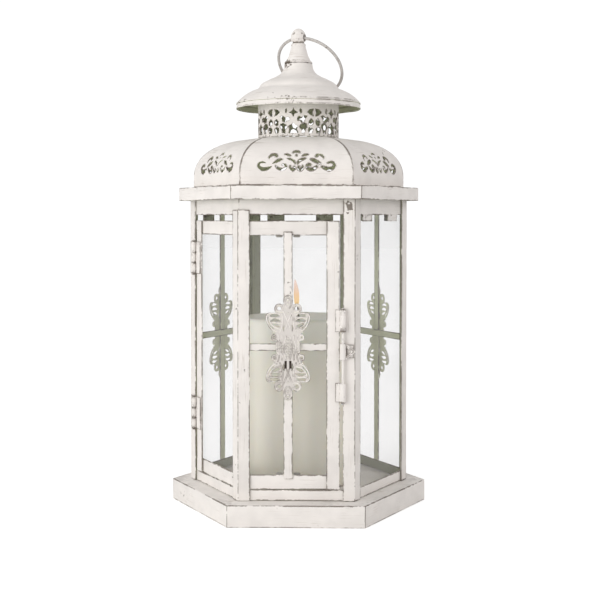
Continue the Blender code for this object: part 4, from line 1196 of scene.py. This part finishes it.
def make_floor(colour):
    """A pale round floor, far larger than the lantern."""
    made, tree, shader = new_material("studio_floor")
    place = wire(tree, "ShaderNodeTexCoord").outputs["Object"]
    cloud = wire(tree, "ShaderNodeTexNoise", {"Vector": place, "Scale": 3.0}).outputs[0]
    tone = mix_colour(tree, cloud, rgba(colour), rgba(colour, 0.99))
    tree.links.new(tone, shader.inputs["Base Color"])
    shader.inputs["Roughness"].default_value = 0.9
    shader.inputs["Specular IOR Level"].default_value = 0.1
    shader.inputs["Emission Color"].default_value = (1, 1, 1, 1)
    seen = wire(tree, "ShaderNodeLightPath").outputs["Is Camera Ray"]
    tree.links.new(ramp(tree, seen, 0.0, 1.0, 0.0, 0.42), shader.inputs["Emission Strength"])
    work = bmesh.new()
    bmesh.ops.create_circle(work, cap_ends=True, segments=96, radius=6.0)
    floor = from_work(work, "studio_floor")
    floor.data.materials.append(made)


def make_world(strength):
    world = bpy.data.worlds.new("studio")
    world.use_nodes = True
    tree = world.node_tree
    sky = tree.nodes["Background"]
    sky.inputs["Color"].default_value = (1, 1, 1, 1)
    seen = wire(tree, "ShaderNodeLightPath").outputs["Is Camera Ray"]
    power = ramp(tree, seen, 0.0, 1.0, strength, 1.05)
    tree.links.new(power, sky.inputs["Strength"])
    bpy.context.scene.world = world


def make_lights(power):
    lamps = (("key", (-0.8, -0.9, 0.28), 0.7, power, (1.0, 0.99, 0.97)),
             ("fill", (0.9, -0.7, 0.6), 0.9, power * 0.2, (1.0, 0.90, 0.87)))
    for name, spot, size, watts, tint in lamps:
        data = bpy.data.lights.new(name, "AREA")
        data.energy = watts
        data.color = tint
        data.size = size
        lamp = bpy.data.objects.new(name, data)
        bpy.context.scene.collection.objects.link(lamp)
        lamp.location = spot
        aim = LIT_POINT - Vector(spot)
        lamp.rotation_mode = "QUATERNION"
        lamp.rotation_quaternion = aim.to_track_quat("-Z", "Y")


def make_camera(stage):
    data = bpy.data.cameras.new("camera")
    data.lens = stage.lens
    data.sensor_width = SENSOR_WIDTH
    data.shift_y = stage.rise
    camera = bpy.data.objects.new("camera", data)
    bpy.context.scene.collection.objects.link(camera)
    right = Vector((cos(stage.bearing), sin(stage.bearing), 0))
    back = Vector((sin(stage.bearing), -cos(stage.bearing), 0))
    camera.location = back * stage.distance + Vector((0, 0, stage.height))
    aim = right * stage.aim_side + Vector((0, 0, stage.aim_height))
    camera.rotation_euler = (aim - camera.location).to_track_quat("-Z", "Y").to_euler()
    bpy.context.scene.camera = camera


# ---------------------------------------------------------------- operators


class LANTERN_OT_stage(bpy.types.Operator):
    """Makes the studio floor, the light and the camera"""

    bl_idname = "lantern.stage"
    bl_label = "Stage"

    def execute(self, context):
        stage = context.scene.lantern_stage
        context.scene.view_settings.view_transform = "Standard"
        make_floor(context.scene.lantern_colours.floor)
        make_world(stage.sky)
        make_lights(stage.key)
        make_camera(stage)
        return {"FINISHED"}


class LANTERN_OT_body(bpy.types.Operator):
    """Finishes the plinth, posts, bands, rails and bars in sheet with rounded edges"""

    bl_idname = "lantern.body"
    bl_label = "Body and door frame"

    def execute(self, context):
        width = context.scene.lantern_sizes.edge_round
        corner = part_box("post_front_right")
        knock = (corner[0].x + 3.6 * MM, corner[0].y, EAVE_TOP - 12.8 * MM)
        finish_sheet(LEVEL_PIECES, paint("level_paint", ACROSS, wear=0.56, reach=1.3 * MM), width)
        finish_sheet(UPRIGHT_PIECES, paint("upright_paint", UPRIGHT, wear=0.62, reach=1.3 * MM,
                                           streaks=0.6, knock=knock, spread=5.5 * MM), width)
        # Painted light: the rear bars' inner faces take an inside colour twice as light.
        finish_sheet(REAR_BARS, paint("rear_bar_paint", UPRIGHT, wear=0.5, reach=1.2 * MM, shade=2.0),
                     width)
        return {"FINISHED"}


class LANTERN_OT_hardware(bpy.types.Operator):
    """Finishes the hinges and the latch"""

    bl_idname = "lantern.hardware"
    bl_label = "Hinges and latch"

    def execute(self, context):
        finish = paint("hardware_paint", UPRIGHT, wear=0.7, reach=0.9 * MM, chips=0.9, lined=False)
        finish_sheet(HARDWARE_PIECES, finish, 0.12 * MM)
        make_hasp(finish)
        steel = steel_material()
        finish_sheet(["finial_nut"], steel, 0.2 * MM)
        make_clips(steel)
        return {"FINISHED"}


class LANTERN_OT_roof(bpy.types.Operator):
    """Makes the six pierced petals of the roof"""

    bl_idname = "lantern.roof"
    bl_label = "Roof"

    def execute(self, context):
        # Painted light: the roof's inner faces take a somewhat lighter inside colour.
        finish = paint("roof_paint", ACROSS, wear=0.75, streaks=0.5, shade=1.3)
        for side, face in FACES.items():
            make_petal(side, face, finish)
        return {"FINISHED"}


class LANTERN_OT_collar(bpy.types.Operator):
    """Makes the pierced collar from six tiles"""

    bl_idname = "lantern.collar"
    bl_label = "Collar"

    def execute(self, context):
        # Painted light: the collar's inner faces take a slightly lighter inside colour.
        make_collar(paint("collar_paint", ACROSS, wear=0.85, reach=1.1 * MM, streaks=0.5, shade=1.1))
        return {"FINISHED"}


class LANTERN_OT_cap(bpy.types.Operator):
    """Makes the cap, the sleeve, the knob and the ring handle"""

    bl_idname = "lantern.cap"
    bl_label = "Cap, knob and ring"

    def execute(self, context):
        knock = (-7.6 * MM, -4.6 * MM, CAP_HIGH + 0.3 * MM)
        make_cap(paint("cap_paint", ACROSS, wear=0.5, streaks=0.7, reach=1.3 * MM, knock=knock,
                       spread=10.0 * MM))
        make_top_fitting(paint("fitting_paint", ACROSS, wear=0.5, streaks=0.8, chips=0.9, reach=1.2 * MM,
                               lined=False, knock=knock, spread=7.0 * MM))
        make_ring(paint("ring_paint", (500.0, 500.0, 500.0), wear=0.8, streaks=1.6, chips=1.1, lined=False,
                        tone=0.66))
        return {"FINISHED"}


class LANTERN_OT_glass(bpy.types.Operator):
    """Finishes the six panes"""

    bl_idname = "lantern.glass"
    bl_label = "Glass"

    def execute(self, context):
        panes = [node for node in frame["nodes"] if "glass" in node]
        finish_sheet(sorted(panes), glass_material(), 0.2 * MM)
        return {"FINISHED"}


class LANTERN_OT_ornaments(bpy.types.Operator):
    """Makes the three pierced ornaments with their raised lines"""

    bl_idname = "lantern.ornaments"
    bl_label = "Ornaments"

    def execute(self, context):
        # Painted light: the ornaments' inner faces take a much lighter inside colour; relief adds painted shade in
        # their recesses and slots.
        finish = paint("lace_paint", UPRIGHT, wear=0.35, reach=0.45 * MM, streaks=0.0, chips=0.2,
                       shade=2.1, relief=True)
        for node, side in (("door_ornament", "front"), ("ornament_rear_right", "rear_right"),
                           ("ornament_rear_left", "rear_left")):
            make_ornament(node, FACES[side], finish)
        return {"FINISHED"}


class LANTERN_OT_candle(bpy.types.Operator):
    """Makes the candle, its wick and its flame"""

    bl_idname = "lantern.candle"
    bl_label = "Candle"

    def execute(self, context):
        make_candle()
        make_flame()
        return {"FINISHED"}


class LANTERN_PT_panel(bpy.types.Panel):
    """The lantern's sizes, colours and pieces"""

    bl_idname = "LANTERN_PT_panel"
    bl_label = "Candle lantern"
    bl_space_type = "VIEW_3D"
    bl_region_type = "UI"
    bl_category = "Lantern"

    def draw(self, context):
        scene = context.scene
        for settings in (scene.lantern_sizes, scene.lantern_colours, scene.lantern_stage):
            box = self.layout.box()
            for name in settings.__annotations__:
                box.prop(settings, name)
        for piece in PIECES:
            self.layout.operator(piece.bl_idname)


PIECES = (LANTERN_OT_stage, LANTERN_OT_body, LANTERN_OT_hardware, LANTERN_OT_roof, LANTERN_OT_collar,
          LANTERN_OT_cap, LANTERN_OT_glass, LANTERN_OT_ornaments, LANTERN_OT_candle)
SETTINGS = {"lantern_sizes": LanternSizes, "lantern_colours": LanternColours,
            "lantern_stage": StageSettings}


def register():
    for kind in (*SETTINGS.values(), *PIECES, LANTERN_PT_panel):
        bpy.utils.register_class(kind)
    for name, kind in SETTINGS.items():
        setattr(bpy.types.Scene, name, bpy.props.PointerProperty(type=kind))


def unregister():
    for name in SETTINGS:
        delattr(bpy.types.Scene, name)
    for kind in (LANTERN_PT_panel, *reversed(PIECES), *SETTINGS.values()):
        bpy.utils.unregister_class(kind)


def main():
    register()
    bpy.ops.lantern.stage()
    bpy.ops.lantern.body()
    bpy.ops.lantern.hardware()
    bpy.ops.lantern.roof()
    bpy.ops.lantern.collar()
    bpy.ops.lantern.cap()
    bpy.ops.lantern.glass()
    bpy.ops.lantern.ornaments()
    bpy.ops.lantern.candle()


if __name__ == "__main__":
    main()
